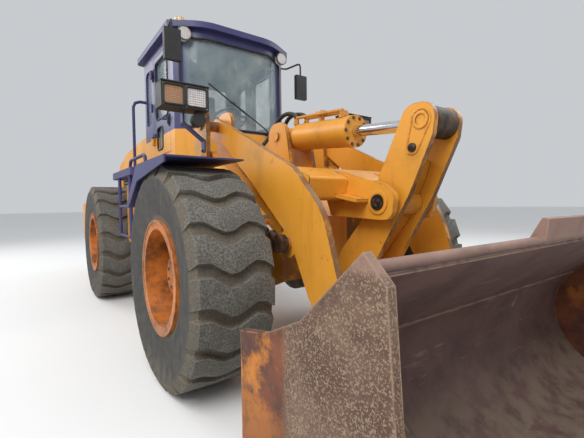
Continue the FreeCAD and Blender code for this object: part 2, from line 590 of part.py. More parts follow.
def steering():
    """A cylinder on each side between the frames, lying flat."""
    start = (front("-wheelbase / 2 + steer_base_x"), "steer_base_y")
    stop = (front("-wheelbase / 2 + steer_frame_x"), "steer_frame_y")
    length = away(start, stop)
    eye_half = "24"
    for side, word in ((-1, "right"), (1, "left")):
        base = rod("steer_base_" + word, ("0", "0", "-1 * " + eye_half), "2 * " + eye_half, "steer_eye_radius", "z")
        bore = rod("steer_bore_" + word, ("0", "0", "-2 * " + eye_half), "4 * " + eye_half,
                   "steer_pin + pin_gap", "z")
        outer = rod("steer_tube_" + word, ("steer_eye_radius * 0.6", "0", "0"),
                    "steer_barrel - steer_eye_radius * 0.6", "steer_radius", "x")
        inner = rod("steer_inside_" + word, ("steer_eye_radius + 12", "0", "0"),
                    "steer_barrel - steer_eye_radius - 42", "steer_radius - 8", "x")
        way = rod("steer_way_" + word, ("steer_eye_radius + 12", "0", "0"), "steer_barrel",
                  "steer_rod_radius + seat_gap", "x")
        barrel = less("steer_barrel_" + word, joined("steer_solid_" + word, [base, outer]),
                      joined("steer_voids_" + word, [bore, inner, way]))
        stem = rod("steer_stem_" + word, ("steer_sunk", "0", "0"), length + " - steer_sunk", "steer_rod_radius", "x")
        piston = rod("steer_piston_" + word, ("steer_sunk", "0", "0"), "22", "steer_radius - 9", "x")
        tip = rod("steer_tip_" + word, (length, "0", "-1 * " + eye_half), "2 * " + eye_half, "steer_eye_radius", "z")
        ram_rod = joined("steer_rod_" + word, [stem, piston, tip])
        reach = Vector(value(stop[0]) - value(start[0]), side * (value(stop[1]) - value(start[1])), 0)
        move = Placement(Vector(value(start[0]), side * value(start[1]), value("steer_height")),
                         Rotation(Vector(1, 0, 0), reach))
        for thing, name in ((barrel, "steer_barrel_"), (ram_rod, "steer_rod_")):
            thing.Placement = move
            keep(name + word, thing)


steering()


def bucket():
    """A rolled shell between two side plates, with a lip, ears behind and a cutting edge in front."""
    back = away(("bucket_heel", "0"), ("lip_x", "lip_z"))
    slant = "(%s + lip_x - bucket_heel) / lip_z" % back
    edge_start = "bucket_reach - edge_depth"
    inside = "bucket_half - bucket_side"
    outer = plate("bucket_outer", "XZ_Plane", [
        (edge_start, "0"), ("bucket_heel", "0", "bucket_back_radius"), ("lip_x", "lip_z"), (edge_start, "100")],
        inside, "2 * (%s)" % inside, datum=FRONT)
    inner = plate("bucket_inner", "XZ_Plane", [
        ("bucket_reach + 100", "bucket_shell"),
        ("bucket_heel + bucket_shell * " + slant, "bucket_shell", "bucket_back_radius - bucket_shell"),
        ("lip_x + (100 * (lip_x - bucket_heel) + bucket_shell * lip_z) / %s" % back,
         "lip_z + (100 * lip_z - bucket_shell * (lip_x - bucket_heel)) / %s" % back)],
        "bucket_half", "2 * bucket_half", datum=FRONT)
    rear = "bucket_heel + bucket_back_radius * (%s - 1)" % slant
    side = plate("bucket_side_plate", "XZ_Plane", [
        ("bucket_reach - 50", "edge_thick"), (edge_start, "edge_thick"), (edge_start, "0"),
        (rear, "0", "bucket_back_radius"), (rear, "740"), ("1440", "770"), ("1610", "850"), ("1820", "1040"),
        ("1880", "980"), ("1900", "710"), ("2020", "250", "300"), ("bucket_reach - 30", "60")],
        "bucket_half", "bucket_side", datum=FRONT)
    bar = rod("bucket_lip", (front("lip_x"), "-1 * (%s)" % inside, "lip_z"), "2 * (%s)" % inside, "lip_radius")
    hook = plate("bucket_hook", "XZ_Plane", [
        ("lip_x - 60", "lip_z - 40"), ("lip_x + 5", "lip_z + 80"), ("lip_x + 26", "lip_z + 76"),
        ("lip_x + 14", "lip_z - 10")], "40", "390", datum=FRONT)
    pieces = [less("bucket_shell_open", outer, inner), bar, hook] + pair(side)
    for number, (start, wide) in enumerate((("boom_inside - ear_gap", "bucket_ear"),
                                            ("boom_inside + boom_plate + ear_gap + bucket_ear", "bucket_ear"))):
        ear = plate("bucket_ear_%d" % number, "XZ_Plane", [
            ("bucket_pivot_x - 88", "bucket_pivot_z - 88", "80"), ("bucket_pivot_x + 60", "bucket_pivot_z - 150"),
            ("1460", "60"), ("1500", "740"), ("1400", "720"), ("bucket_pivot_x - 20", "bucket_pivot_z + 110", "80"),
            ("bucket_pivot_x - 88", "bucket_pivot_z + 60", "60")], start, wide,
            holes=[("bucket_pivot_x", "bucket_pivot_z", "bucket_pin + pin_gap")], datum=FRONT)
        pieces += pair(less("bucket_ear_fit_%d" % number, ear, outer))
    middle = plate("link_ear", "XZ_Plane", [
        ("link_end_x - 80", "link_end_z - 70", "60"), ("link_end_x + 10", "link_end_z - 90", "60"), ("1420", "300"),
        ("1520", "780"), ("1400", "800"), ("link_end_x - 10", "link_end_z + 85", "60"),
        ("link_end_x - 80", "link_end_z + 50", "60")], "link_half + ear_gap + 24", "24", datum=FRONT)
    cap = rod("link_cap", (front("link_end_x"), "link_half + ear_gap + 24", "link_end_z"), "14", "link_pin + 14")
    pieces += pair(less("link_ear_fit", middle, outer)) + pair(cap)
    keep("bucket", joined("bucket", pieces))
    pin = rod("bucket_pin_right", (front("bucket_pivot_x"), "-1 * (boom_inside + boom_plate + ear_gap + bucket_ear)",
                                   "bucket_pivot_z"), "boom_plate + 2 * ear_gap + 2 * bucket_ear", "bucket_pin")
    keep("bucket_pins", joined("bucket_pins", pair(pin)))
    blade = plate("bucket_edge", "XZ_Plane", [
        (edge_start, "0"), ("bucket_reach", "0"), ("bucket_reach", "8"), ("bucket_reach - 70", "edge_thick"),
        (edge_start, "edge_thick")], "bucket_half", "2 * bucket_half", datum=FRONT)
    keep("bucket_edge", blade)


bucket()


def front_trim():
    """Fenders over the front wheels and the lamps on their arms."""
    low = "fender_top - fender_plate"
    shell = plate("fender", "XZ_Plane", [
        ("fender_front", low), ("fender_front", "fender_top"), ("-302", "fender_top", "60"), ("-640", "1130"),
        ("-632", "1124"), ("-298", low, "50")], "fender_out", "fender_out - fender_in", datum=FRONT)
    skirt = plate("fender_skirt", "XZ_Plane", [
        ("fender_front", low), ("fender_front", "fender_top - 40"), ("-290", "fender_top - 110"), ("-570", "1124"),
        ("-633", "1124"), ("-300", low)], "fender_out", "fender_plate", datum=FRONT)
    tab = block("fender_tab", (front("-560"), "tower_inside + tower_plate", "fender_top - 52"), ("260", "40", "50"))
    keep("front_fenders", joined("front_fenders", pair(joined("fender_whole", [shell, skirt, tab]))))
    face, under = "tower_inside + tower_plate", "lamp_z - lamp_height / 2"
    arm = plate("lamp_arm", "YZ_Plane", [
        (face, "1535"), (face + " + arm_plate", "1535"), (face + " + arm_plate", "1615"), ("lamp_y - 6", "1735"),
        ("lamp_y - 6", under), ("lamp_y - 6 - arm_plate", under), ("lamp_y - 6 - arm_plate", "1741"),
        (face, "1621")], front("lamp_x - 75"), "60")
    keep("lamp_arms", joined("lamp_arms", pair(arm)))
    base = (front("lamp_x - lamp_depth / 2"), "lamp_y - lamp_width / 2", "lamp_z - lamp_height / 2")
    case = block("lamp_case", base, ("lamp_depth", "lamp_width", "lamp_height"))
    hollow = block("lamp_hollow", (base[0] + " + lamp_wall", base[1] + " + lamp_wall", base[2] + " + lamp_wall"),
                   ("lamp_depth", "lamp_width - 2 * lamp_wall", "lamp_height - 2 * lamp_wall"))
    horn = rod("lamp_horn", (front("lamp_x - 20"), "lamp_y - 110", "lamp_z - lamp_height / 2 - 60"), "70", "48", "x")
    stalk = block("horn_stalk", (front("lamp_x - 10"), "lamp_y - 130", "lamp_z - lamp_height / 2 - 40"),
                  ("20", "40", "50"))
    keep("lamp_housings", joined("lamp_housings", pair(joined("lamp_whole", [less("lamp_open", case, hollow), horn,
                                                                             stalk]))))
    face = (base[0] + " + lamp_depth - 24", base[1] + " + lamp_wall", base[2] + " + lamp_wall")
    tall = "lamp_height - 2 * lamp_wall"
    lens = block("lamp_lens", face, ("20", "lamp_split", tall))
    keep("lamp_lenses", joined("lamp_lenses", pair(lens)))
    amber = block("indicator_lens", (face[0], face[1] + " + lamp_split", face[2]),
                  ("20", "lamp_width - 2 * lamp_wall - lamp_split", tall))
    keep("indicator_lenses", joined("indicator_lenses", pair(amber)))


front_trim()


def rear_frame():
    """Two long plates with the hitch ears in front, cab posts and the cylinder pins."""
    width = "2 * rear_inside"
    axle_x = "- wheelbase / 2"
    side = plate("rear_side", "XZ_Plane", [
        ("rear_front", "hitch_low - hitch_span"), ("rear_front", "steer_height - 90"),
        ("rear_front - 270", "steer_height - 90"), ("rear_front - 270", "steer_height + 90"),
        ("rear_front", "steer_height + 90"), ("rear_front", "hitch_top + hitch_span"), ("-375", "cab_low"),
        ("-635", "cab_low"), ("-635", "1050"), ("weight_front " + axle_x, "1050"), ("weight_front " + axle_x, "640"),
        ("-400 " + axle_x, "640"), ("-300 " + axle_x, "axle_pad_top"), ("300 " + axle_x, "axle_pad_top"),
        ("400 " + axle_x, "hitch_low - hitch_span")], "rear_inside + rear_plate", "rear_plate", datum=HITCH)
    pieces = pair(side)
    for word in ("hitch_low", "hitch_top"):
        pieces.append(block("rear_cross_" + word, (hitch("rear_front - 30"), "-1 * rear_inside", word + " - hitch_span"),
                            ("30", width, "2 * hitch_span")))
    pieces.append(block("rear_tie", (rear("300"), "-1 * rear_inside", "560"), ("40", width, "80")))
    pieces.append(block("rear_end_tie", (rear("weight_front"), "-1 * rear_inside", "660"), ("30", width, "340")))
    pieces.append(block("cab_beam", (hitch("-625"), "-1 * (rear_inside + 280)", "1370"),
                        ("200", "2 * (rear_inside + 280)", "60")))
    for number, x in enumerate(("400", "-450", "-1190")):
        pieces += pair(block("hood_sill_%d" % number, (rear(x), "rear_inside", "hood_floor - 50"),
                             ("60", "hood_half - rear_inside", "50")))
    for level in ("hitch_top", "hitch_low"):
        for word, shift in (("over", "hitch_plate / 2 + hitch_gap"), ("under", "-hitch_plate / 2 - hitch_gap - 30")):
            pieces.append(plate("rear_%s_%s" % (level, word), "XY_Plane", [
                ("rear_front", "-1 * rear_inside"), ("rear_front", "rear_inside"),
                ("hitch_ear_radius", "hitch_ear_radius", "110"), ("hitch_ear_radius", "-1 * hitch_ear_radius", "110")],
                level + " + " + shift, "30", datum=HITCH))
        pieces.append(rod("rear_%s_pin" % level, (HITCH, "0", level + " - hitch_plate / 2 - hitch_gap - 48"),
                          "hitch_plate + 2 * hitch_gap + 96", "hitch_pin_radius", "z"))
    pieces += pair(rod("steer_base_pin", (hitch("steer_base_x"), "steer_base_y", "steer_height - 110"), "220",
                       "steer_pin", "z"))
    keep("rear_chassis", joined("rear_chassis", pieces))
    engine = block("engine_mass", (rear("-1200"), "-300", "720"), ("850", "600", "800"))
    gear = block("gearbox", (rear("360"), "-rear_inside", "640"),
                 ("wheelbase / 2 + gearbox_front - 360", width, "360"))
    bell = rod("engine_bell", (rear("-360"), "0", "960"), "30", "180", "x")
    shaft = rod("rear_shaft", (hitch("gearbox_front - 10"), "0", "tyre_radius + 20"), "-65 - gearbox_front + 10", "42",
                "x")
    stub = rod("axle_stub", (rear("300"), "0", "tyre_radius + 20"), "60", "60", "x")
    mounts = pair(block("engine_foot", (rear("-1050"), "290", "800"), ("120", "rear_inside - 290", "60")))
    keep("engine_block", joined("engine_block", [engine, gear, shaft, stub, bell] + mounts))


rear_frame()


def rear_body():
    """Hood shell, grille, exhaust and air cleaner, and the counterweight with its tow clevis."""
    nose = "wheelbase / 2 + cab_rear - hood_gap"
    outer = plate("hood_outer", "XZ_Plane", [
        (nose, "hood_floor"), (nose, "2000", "40"), ("-750", "1930"), ("-1390", "1760", "80"),
        ("hood_rear", "weight_top + 10"), ("weight_front + 10", "weight_top + 10"),
        ("weight_front + 10", "hood_floor")], "hood_half", "2 * hood_half", datum=REAR)
    inner = plate("hood_inner", "XZ_Plane", [
        (nose + " - hood_wall", "hood_floor - 50"), (nose + " - hood_wall", "2000 - hood_wall"),
        ("-750", "1930 - hood_wall"), ("-1370", "1760 - hood_wall"), ("hood_rear + hood_wall", "weight_top - 50"),
        ("weight_front - 10", "weight_top - 50"), ("weight_front + 40", "hood_floor - 50")],
        "hood_half - hood_wall", "2 * (hood_half - hood_wall)", datum=REAR)
    vent = block("hood_vent", (rear("-1100"), "-700", "1330"), ("700", "1400", "330"))
    back = block("hood_back_vent", (rear("hood_rear - 50"), "-400", "1270"), ("200", "800", "330"))
    shell = less("hood_shell", outer, joined("hood_voids", [inner, vent, back]))
    pads = [block("intake_pad", (rear("180"), "150", "1952"), ("140", "140", "38")),
            block("exhaust_pad", (rear("-140"), "-340", "1940"), ("180", "180", "34"))]
    keep("hood", joined("hood", [shell] + pads))
    slats = []
    for number in range(7):
        rise = " + %d * slat_pitch" % number
        slats += pair(block("side_slat_%d" % number, (rear("-1100"), "hood_half - 24", "1335" + rise),
                            ("700", "16", "30")))
        lean = "-1384 - 90 * (473 - %d * slat_pitch) / 570" % number
        slats.append(block("back_slat_%d" % number, (rear(lean), "-400", "1272" + rise), ("16", "800", "30")))
    keep("grilles", joined("grilles", slats))
    pipe = tube("exhaust_pipe", REAR, [("-50", "-250", "1974"), ("-50", "-250", "2330"), ("-160", "-250", "2440")],
                "38", "90", 12)
    muffler = rod("muffler", (rear("-50"), "-250", "1974"), "200", "75", "z")
    keep("exhaust", joined("exhaust", [pipe, muffler]))
    stack = rod("intake_stack", (rear("250"), "220", "1990"), "236", "45", "z")
    bowl = rod("intake_bowl", (rear("250"), "220", "2218"), "130", "100", "z")
    keep("air_intake", joined("air_intake", [stack, bowl]))
    back = "-1 * rear_overhang"
    mass = plate("weight_mass", "XY_Plane", [
        ("weight_front", "-weight_half", "40"), ("weight_front", "weight_half", "40"),
        (back + " + 90", "weight_half", "120"), (back, "weight_half - 420", "80"), (back, "420 - weight_half", "80"),
        (back + " + 90", "-weight_half", "120")], "weight_low", "weight_top - weight_low", datum=REAR)
    pocket = block("tow_pocket", (rear(back + " - 10"), "-110", "weight_low - 10"),
                   ("190", "220", "weight_top - weight_low + 20"))
    lips = []
    for number, start in enumerate(("tow_height + tow_gap / 2", "tow_height - tow_gap / 2 - tow_plate")):
        lips.append(plate("tow_lip_%d" % number, "XY_Plane", [
            (back + " + 180", "-70"), (back + " + 180", "70"), (back, "60", "50"), (back, "-60", "50")], start,
            "tow_plate", holes=[(back + " + 62", "0", "tow_bore")], datum=REAR))
    keep("counterweight", joined("counterweight", [less("weight_pocketed", mass, pocket)] + lips))


rear_body()


def cab_plan(name, depth, low, high):
    """An upright prism over the cab's plan, moved inward by a depth. The front is bowed."""
    run, width = "(cab_nose - cab_corner)", "(cab_half - nose_half)"
    slant = "sqrt(%s^2 + %s^2)" % (run, width)
    side, nose = "(cab_half - (%s))" % depth, "cab_nose - (%s)" % depth
    corner = "cab_corner - (%s) * (%s - %s) / %s" % (depth, slant, run, width)
    near = "(nose_half - (%s) * (%s - %s) / %s)" % (depth, slant, width, run)
    bend = "nose_bend - (%s)" % depth
    return plate(name, "XY_Plane", [
        ("cab_rear + (%s)" % depth, "-1 * " + side, "60"), ("cab_rear + (%s)" % depth, side, "60"), (corner, side),
        (nose, near, bend), (nose, "-1 * " + near, bend), (corner, "-1 * " + side)], low,
        "%s - (%s)" % (high, low), datum=HITCH)


def cab():
    """A hollow cab of one wall thickness with cut windows, its glass, roof and fittings."""
    outer = cab_plan("cab_outer", "0", "cab_low", "cab_top")
    inner = cab_plan("cab_inner", "cab_wall", "cab_low + cab_floor", "cab_top - cab_wall")
    screen = block("screen_cut", (hitch("screen_edge"), "-cab_half", "sill_z"),
                   ("300", "2 * cab_half", "screen_top - sill_z"))
    back = block("back_cut", (hitch("cab_rear - 20"), "-440", "belt_z"), ("150", "880", "window_top - belt_z"))
    doors = block("door_cut", (hitch("door_rear"), "-cab_half - 20", "door_low"),
                  ("door_front - door_rear", "2 * cab_half + 40", "door_high - door_low"))
    frame = [("-765", "belt_z", "60"), ("-545", "belt_z", "60"), ("-545", "window_top", "60"),
             ("-765", "window_top", "60")]
    small = plate("small_cut", "XZ_Plane", frame, "cab_half + 20", "2 * cab_half + 40", datum=HITCH)
    body = less("cab_open", outer, joined("cab_voids", [inner, screen, back, doors, small]))
    knuckles = []
    for height in ("1800", "2500"):
        leaf = block("cab_leaf_" + height, (hitch("door_rear - hinge_back - 36"), "cab_half", height),
                     ("36", "hinge_out", "60"))
        barrel = rod("cab_knuckle_" + height, (hitch("door_rear - hinge_back"), "cab_half + hinge_out", height), "60",
                     "9", "z")
        knuckles += pair(joined("cab_hinge_" + height, [leaf, barrel]))
    keep("cab_shell", joined("cab_shell", [body] + knuckles))
    band = less("screen_band", cab_plan("screen_outer", "glass_depth", "sill_z", "screen_top"),
                cab_plan("screen_inner", "glass_depth + glass", "sill_z - 10", "screen_top + 10"))
    strip = less("screen", band, block("screen_rear", (hitch("cab_rear - 20"), "-cab_half - 20", "sill_z - 20"),
                                       ("screen_edge - cab_rear + 20", "2 * cab_half + 40",
                                        "screen_top - sill_z + 40")))
    pane = block("back_glass", (hitch("cab_rear + 20"), "-440", "belt_z"), ("glass", "880", "window_top - belt_z"))
    side_pane = plate("small_glass", "XZ_Plane", frame, "cab_half - 20", "glass", datum=HITCH)
    keep("cab_glass", joined("cab_glass", [strip, pane] + pair(side_pane)))
    visor = cab_plan("roof_visor", "-1 * roof_over", "cab_top", "cab_top + roof_rise - roof_crown")
    crown = cab_plan("roof_crown_slab", "20", "cab_top", "cab_top + roof_rise")
    keep("cab_roof", joined("cab_roof", [visor, crown]))
    lamps = []
    for word, y in (("left", "545"), ("right", "-545")):
        lamps.append(rod("roof_lamp_" + word, (hitch("303"), y, "cab_top - 72"), "50", "60", "x"))
        lamps.append(block("roof_lamp_foot_" + word, (hitch("303"), y + " - 15", "cab_top - 20"), ("24", "30", "20")))
    beacon = rod("beacon_foot", (hitch("-175"), "-400", "cab_top + roof_rise"), "90", "48", "z")
    dome = rod("beacon_dome", (hitch("-175"), "-400", "cab_top + roof_rise + 90"), "130", "62", "z")
    keep("roof_lamps", joined("roof_lamps", lamps))
    keep("beacon", joined("beacon", [beacon, dome]))


cab()


def doors():
    """A door and its pane on each side."""
    outer = block("door_slab", (hitch("door_rear + seam"), "cab_half - cab_wall", "door_low + seam"),
                  ("door_front - door_rear - 2 * seam", "cab_wall", "door_high - door_low - 2 * seam"))
    high = [("door_rear + 70", "belt_z", "50"), ("door_front - 60", "belt_z", "50"),
            ("door_front - 60", "window_top", "50"), ("door_rear + 70", "window_top", "50")]
    low = [("door_rear + 100", "1730", "40"), ("door_rear + 300", "1730", "40"), ("door_rear + 300", "1970", "40"),
           ("door_rear + 100", "1970", "40")]
    cuts, panes = [], []
    for word, corners in (("high", high), ("low", low)):
        cuts.append(plate("door_window_" + word, "XZ_Plane", corners, "cab_half + 10", "cab_wall + 20", datum=HITCH))
        panes.append(plate("door_pane_" + word, "XZ_Plane", corners, "cab_half - 20", "glass", datum=HITCH))
    parts = [less("door_panel", outer, joined("door_voids", cuts))]
    for height in ("1861", "2561"):
        parts.append(block("door_leaf_" + height, (hitch("door_rear - hinge_back"), "cab_half", height),
                           ("44", "hinge_out", "60")))
        parts.append(rod("door_knuckle_" + height, (hitch("door_rear - hinge_back"), "cab_half + hinge_out", height),
                         "60", "9", "z"))
    grip = tube("door_grip", HITCH, [("-35", "cab_half", "2010"), ("-35", "cab_half + 45", "2010"),
                                     ("60", "cab_half + 45", "2010"), ("60", "cab_half", "2010")], "9", "14", 6)
    left = joined("door_left", parts + [grip])
    glass = joined("door_glass_left", panes)
    keep("door_left", left)
    keep("door_glass_left", glass)
    keep("door_right", mirrored(left))
    keep("door_glass_right", mirrored(glass))


doors()


def cab_fittings():
    """Seat, dash, steering wheel and mirrors."""
    floor = "cab_low + cab_floor"
    base = block("seat_box", (hitch("-645"), "-200", floor), ("380", "400", "350"))
    keep("seat_base", base)
    cushion = block("seat_cushion", (hitch("-695"), "-250", floor + " + 350"), ("500", "500", "120"))
    back = plate("seat_back", "XZ_Plane", [
        ("-695", "1970"), ("-605", "1970"), ("-715", "2540", "30"), ("-795", "2540", "30")], "240", "480",
        datum=HITCH)
    keep("seat_pads", joined("seat_pads", [cushion, back]))
    desk = plate("dash_desk", "XZ_Plane", [
        ("215", floor), ("305", floor), ("305", "1850"), ("185", "1880", "30"), ("135", "1820")], "300", "600",
        datum=HITCH)
    column = rod("steering_column", (hitch("250"), "0", "1809"), "239.7", "30", "z")
    column.Placement.Rotation = Rotation(Vector(0, 1, 0), -25)
    keep("dash", joined("dash", [desk, column]))
    ring = doc.addObject("Part::Feature", "wheel_ring")
    turns = [2 * math.pi * index / 24 for index in range(24)]
    sides = [2 * math.pi * index / 8 for index in range(8)]
    rim = value("wheel_ring")
    ring.Shape = facets([[Vector((rim + 14 * math.cos(side)) * math.cos(turn), (rim + 14 * math.cos(side))
                                 * math.sin(turn), 14 * math.sin(side)) for side in sides] for turn in turns], True)
    hub = rod("wheel_hub", ("0", "0", "-20"), "40", "48", "z")
    spokes = [block("wheel_spoke_x", ("-wheel_ring", "-14", "-6"), ("2 * wheel_ring", "28", "12")),
              block("wheel_spoke_y", ("-14", "-wheel_ring", "-6"), ("28", "2 * wheel_ring", "12"))]
    wheel = joined("steering_wheel", [ring, hub] + spokes)
    wheel.Placement = Placement(Vector(), Rotation(Vector(0, 1, 0), -25))
    at(wheel, hitch("140"), "0", "2045")
    keep("steering_wheel", wheel)
    near = block("mirror_near", (hitch("620"), "-830", "2350"), ("45", "140", "260"))
    near_arm = tube("mirror_near_arm", HITCH, [("200", "-cab_half", "2700"), ("200", "-700", "2700"),
                                               ("640", "-760", "2700"), ("640", "-760", "2600")], "10", "40", 6)
    far = block("mirror_far", (hitch("425"), "660", "2300"), ("45", "140", "260"))
    far_arm = tube("mirror_far_arm", HITCH, [("200", "cab_half", "2700"), ("200", "700", "2700"),
                                             ("445", "730", "2700"), ("445", "730", "2550")], "10", "40", 6)
    keep("mirrors", joined("mirrors", [near, near_arm, far, far_arm]))


cab_fittings()


def access():
    """Platforms, tanks, ladders and rails on both sides."""
    inner = "cab_half + step_gap"
    slab = plate("platform_slab", "XY_Plane", [
        ("cab_rear + 30", inner), ("step_front", inner), ("step_front", "step_out", "60"),
        ("cab_rear + 30", "step_out", "60")], "step_top - step_plate", "step_plate", datum=HITCH)
    bracket = block("platform_bracket", (hitch("-625"), "rear_inside + 280", "1370"), ("200", "200", "60"))
    keep("platforms", joined("platforms", pair(joined("platform_whole", [slab, bracket]))))
    back = "tyre_radius + tank_gap - wheelbase / 2"
    tank = plate("tank_body", "XZ_Plane", [
        (back, "tank_low", "60"), ("tank_front", "tank_low", "60"), ("tank_front", "1370", "40"),
        (back, "1370", "40")], "tank_out", "tank_out - tank_in", datum=HITCH)
    keep("tanks", joined("tanks", pair(tank)))
    ladders = []
    post = "900 - wheelbase / 2"
    for word, x in (("rear", post), ("front", "ladder_front")):
        ladders.append(rod("ladder_%s" % word, (hitch(x), "step_out - 20", "ladder_low"),
                           "step_top - step_plate - ladder_low", "rail_radius", "z"))
    for height in ("ladder_low + 300", "ladder_low"):
        ladders.append(rod("rung_%d" % len(ladders), (hitch(post), "step_out - 20", height),
                           "ladder_front - (%s)" % post, "14", "x"))
    keep("ladders", joined("ladders", pair(joined("ladder_whole", ladders))))
    rail = tube("handrail", HITCH, [("-575", "860", "step_top"), ("-575", "860", "1630"), ("85", "860", "1630"),
                                    ("85", "860", "step_top")])
    rear_rail = tube("handrail_rear", HITCH, [("-800", "760", "step_top"), ("-800", "760", "2350"),
                                              ("-800", "cab_half", "2350")])
    keep("handrails", joined("handrails", pair(rail) + pair(rear_rail)))


access()

doc.recompute()
os.makedirs("parts", exist_ok=True)
for thing in doc.Objects:
    if "Invalid" in thing.State or "Error" in thing.State:
        raise RuntimeError("%s failed: %s" % (thing.Name, thing.State))
for name, thing in nodes.items():
    if thing.Shape.isNull() or not thing.Shape.isValid() or not thing.Shape.Solids:
        raise RuntimeError("%s has no valid shape" % name)
for name, thing in nodes.items():
    thing.Shape.exportStep("parts/%s.step" % name)
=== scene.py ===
"""Looks of an articulated wheel loader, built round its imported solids."""

import json
import math

import bpy
from bpy.props import FloatProperty, FloatVectorProperty, PointerProperty
from mathutils import Matrix, Vector


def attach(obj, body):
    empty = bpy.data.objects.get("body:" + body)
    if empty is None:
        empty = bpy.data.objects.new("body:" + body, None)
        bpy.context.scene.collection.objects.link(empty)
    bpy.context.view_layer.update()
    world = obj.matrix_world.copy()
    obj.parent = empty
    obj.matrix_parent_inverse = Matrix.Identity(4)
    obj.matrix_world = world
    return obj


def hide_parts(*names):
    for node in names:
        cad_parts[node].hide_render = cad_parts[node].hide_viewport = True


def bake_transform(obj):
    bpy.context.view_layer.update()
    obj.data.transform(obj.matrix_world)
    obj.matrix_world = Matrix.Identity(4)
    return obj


bl_info = {
    "name": "Wheel loader looks",
    "version": (1, 0, 0),
    "blender": (4, 5, 0),
    "location": "View3D > Sidebar > Loader",
    "description": "Dresses the wheel loader's solids with finishes, fasteners, hoses and trim",
    "category": "Object",
}

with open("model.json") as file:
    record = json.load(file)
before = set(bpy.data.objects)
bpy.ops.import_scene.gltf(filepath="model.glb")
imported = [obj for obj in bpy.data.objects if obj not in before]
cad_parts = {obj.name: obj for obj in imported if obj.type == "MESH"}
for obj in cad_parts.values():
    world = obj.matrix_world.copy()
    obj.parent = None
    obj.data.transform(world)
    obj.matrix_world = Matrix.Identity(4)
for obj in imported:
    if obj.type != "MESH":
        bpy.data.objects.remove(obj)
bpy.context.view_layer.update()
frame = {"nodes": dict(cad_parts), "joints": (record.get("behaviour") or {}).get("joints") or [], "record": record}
NODES = frame["nodes"]
TAU = 2 * math.pi
PIVOT = {joint["name"]: Vector(joint["pos_m"])
         for joint in frame["record"]["behaviour"]["joints"] if "pos_m" in joint}
FRONT = PIVOT["wheel_front_right_spin"].x
HITCH = PIVOT["steer"].x
WHEELS = ("front_right", "front_left", "rear_right", "rear_left")
SIDES = ((-1, "right"), (1, "left"))

# In metres
FAR = 3  # past the machine's side or roof, where lines that look for a surface start
TREAD_FOOT = 0.60  # radius at which the tread begins
BELT = (1.868, 1.874)  # heights between which the cab changes its paint
BUCKET_SIDE = (1.2130, 1.2140)  # from here outward lies the outer face of a side plate
SCREEN = 0.024  # x of the windshield's flat middle
SCREEN_HALF = 0.36  # half width of that middle, past which the pane leans back


# Sizes and colours that a user would change

def colour(name, text, default):
    return FloatVectorProperty(name=name, description=text, default=default, size=3, min=0, max=1,
                               subtype="COLOR_GAMMA")


def length(name, text, default):
    return FloatProperty(name=name, description=text, default=default, min=0, unit="LENGTH")


class LoaderFinish(bpy.types.PropertyGroup):
    body: colour("Body paint", "Paint of the frames, boom, cab's lower part and hood", (0.83, 0.565, 0.17))
    trim: colour("Trim paint", "Paint of the roof, fenders, platforms and rails", (0.19, 0.19, 0.37))
    rim: colour("Rim paint", "Paint of the wheel rims", (0.74, 0.42, 0.13))
    rubber: colour("Tyre", "Dry rubber of the tyres", (0.42, 0.41, 0.385))
    dust: colour("Dust", "Dry soil in the tread and on ledges", (0.62, 0.56, 0.47))
    rust: colour("Rust", "Rust on bare and chipped steel", (0.42, 0.22, 0.12))
    bucket: colour("Bucket steel", "Worn brown steel of the bucket", (0.41, 0.31, 0.29))
    wear: FloatProperty(name="Wear", description="How much chipping and rust the paint shows", default=1.0,
                        min=0, max=2, subtype="FACTOR")


class LoaderTrim(bpy.types.PropertyGroup):
    bolt: length("Bolt head", "Radius of a common bolt head", 0.013)
    hose: length("Hose", "Radius of a pressure hose", 0.017)
    pipe: length("Steel pipe", "Radius of a steel pipe on a cylinder", 0.012)
    gasket: length("Gasket", "Width of a rubber window gasket", 0.022)
    lug_edge: length("Lug edge", "Rounding of the lug edges", 0.009)
    lug_wave: length("Lug wave", "How far the lugs wave along the tread", 0.034)


class LoaderStage(bpy.types.PropertyGroup):
    floor_grey: FloatProperty(name="Floor", description="Brightness of the floor", default=0.80, min=0, max=1)
    key_power: FloatProperty(name="Key light", description="Strength of the large soft lamp", default=900.0,
                             min=0, subtype="POWER", unit="POWER")
    fill_strength: FloatProperty(name="Sky", description="Strength of the even light from the world",
                                 default=0.62, min=0)
    lens: FloatProperty(name="Lens", description="Focal length of the camera", default=22.5, min=1, unit="CAMERA")


GROUPS = {"loader_finish": LoaderFinish, "loader_trim": LoaderTrim, "loader_stage": LoaderStage}


def linear(rgb):
    """Screen colour to the scene's linear colour."""
    return tuple(part / 12.92 if part <= 0.04045 else ((part + 0.055) / 1.055) ** 2.4 for part in rgb)


def shade(rgb, factor):
    """A colour made darker or paler."""
    return tuple(min(1, channel * factor) for channel in rgb)


def looks():
    return bpy.context.scene.loader_finish


def trim():
    return bpy.context.scene.loader_trim


def paint(name):
    return bpy.data.materials[name]


def ahead(x, y, z):
    """A place counted from the front axle."""
    return Vector((FRONT + x, y, z))


TILT_EYE = ahead(1.17, 0, 1.56)
LIFT_EYE = ahead(0.56, 0, 0.905)


# Small tools for shader nodes

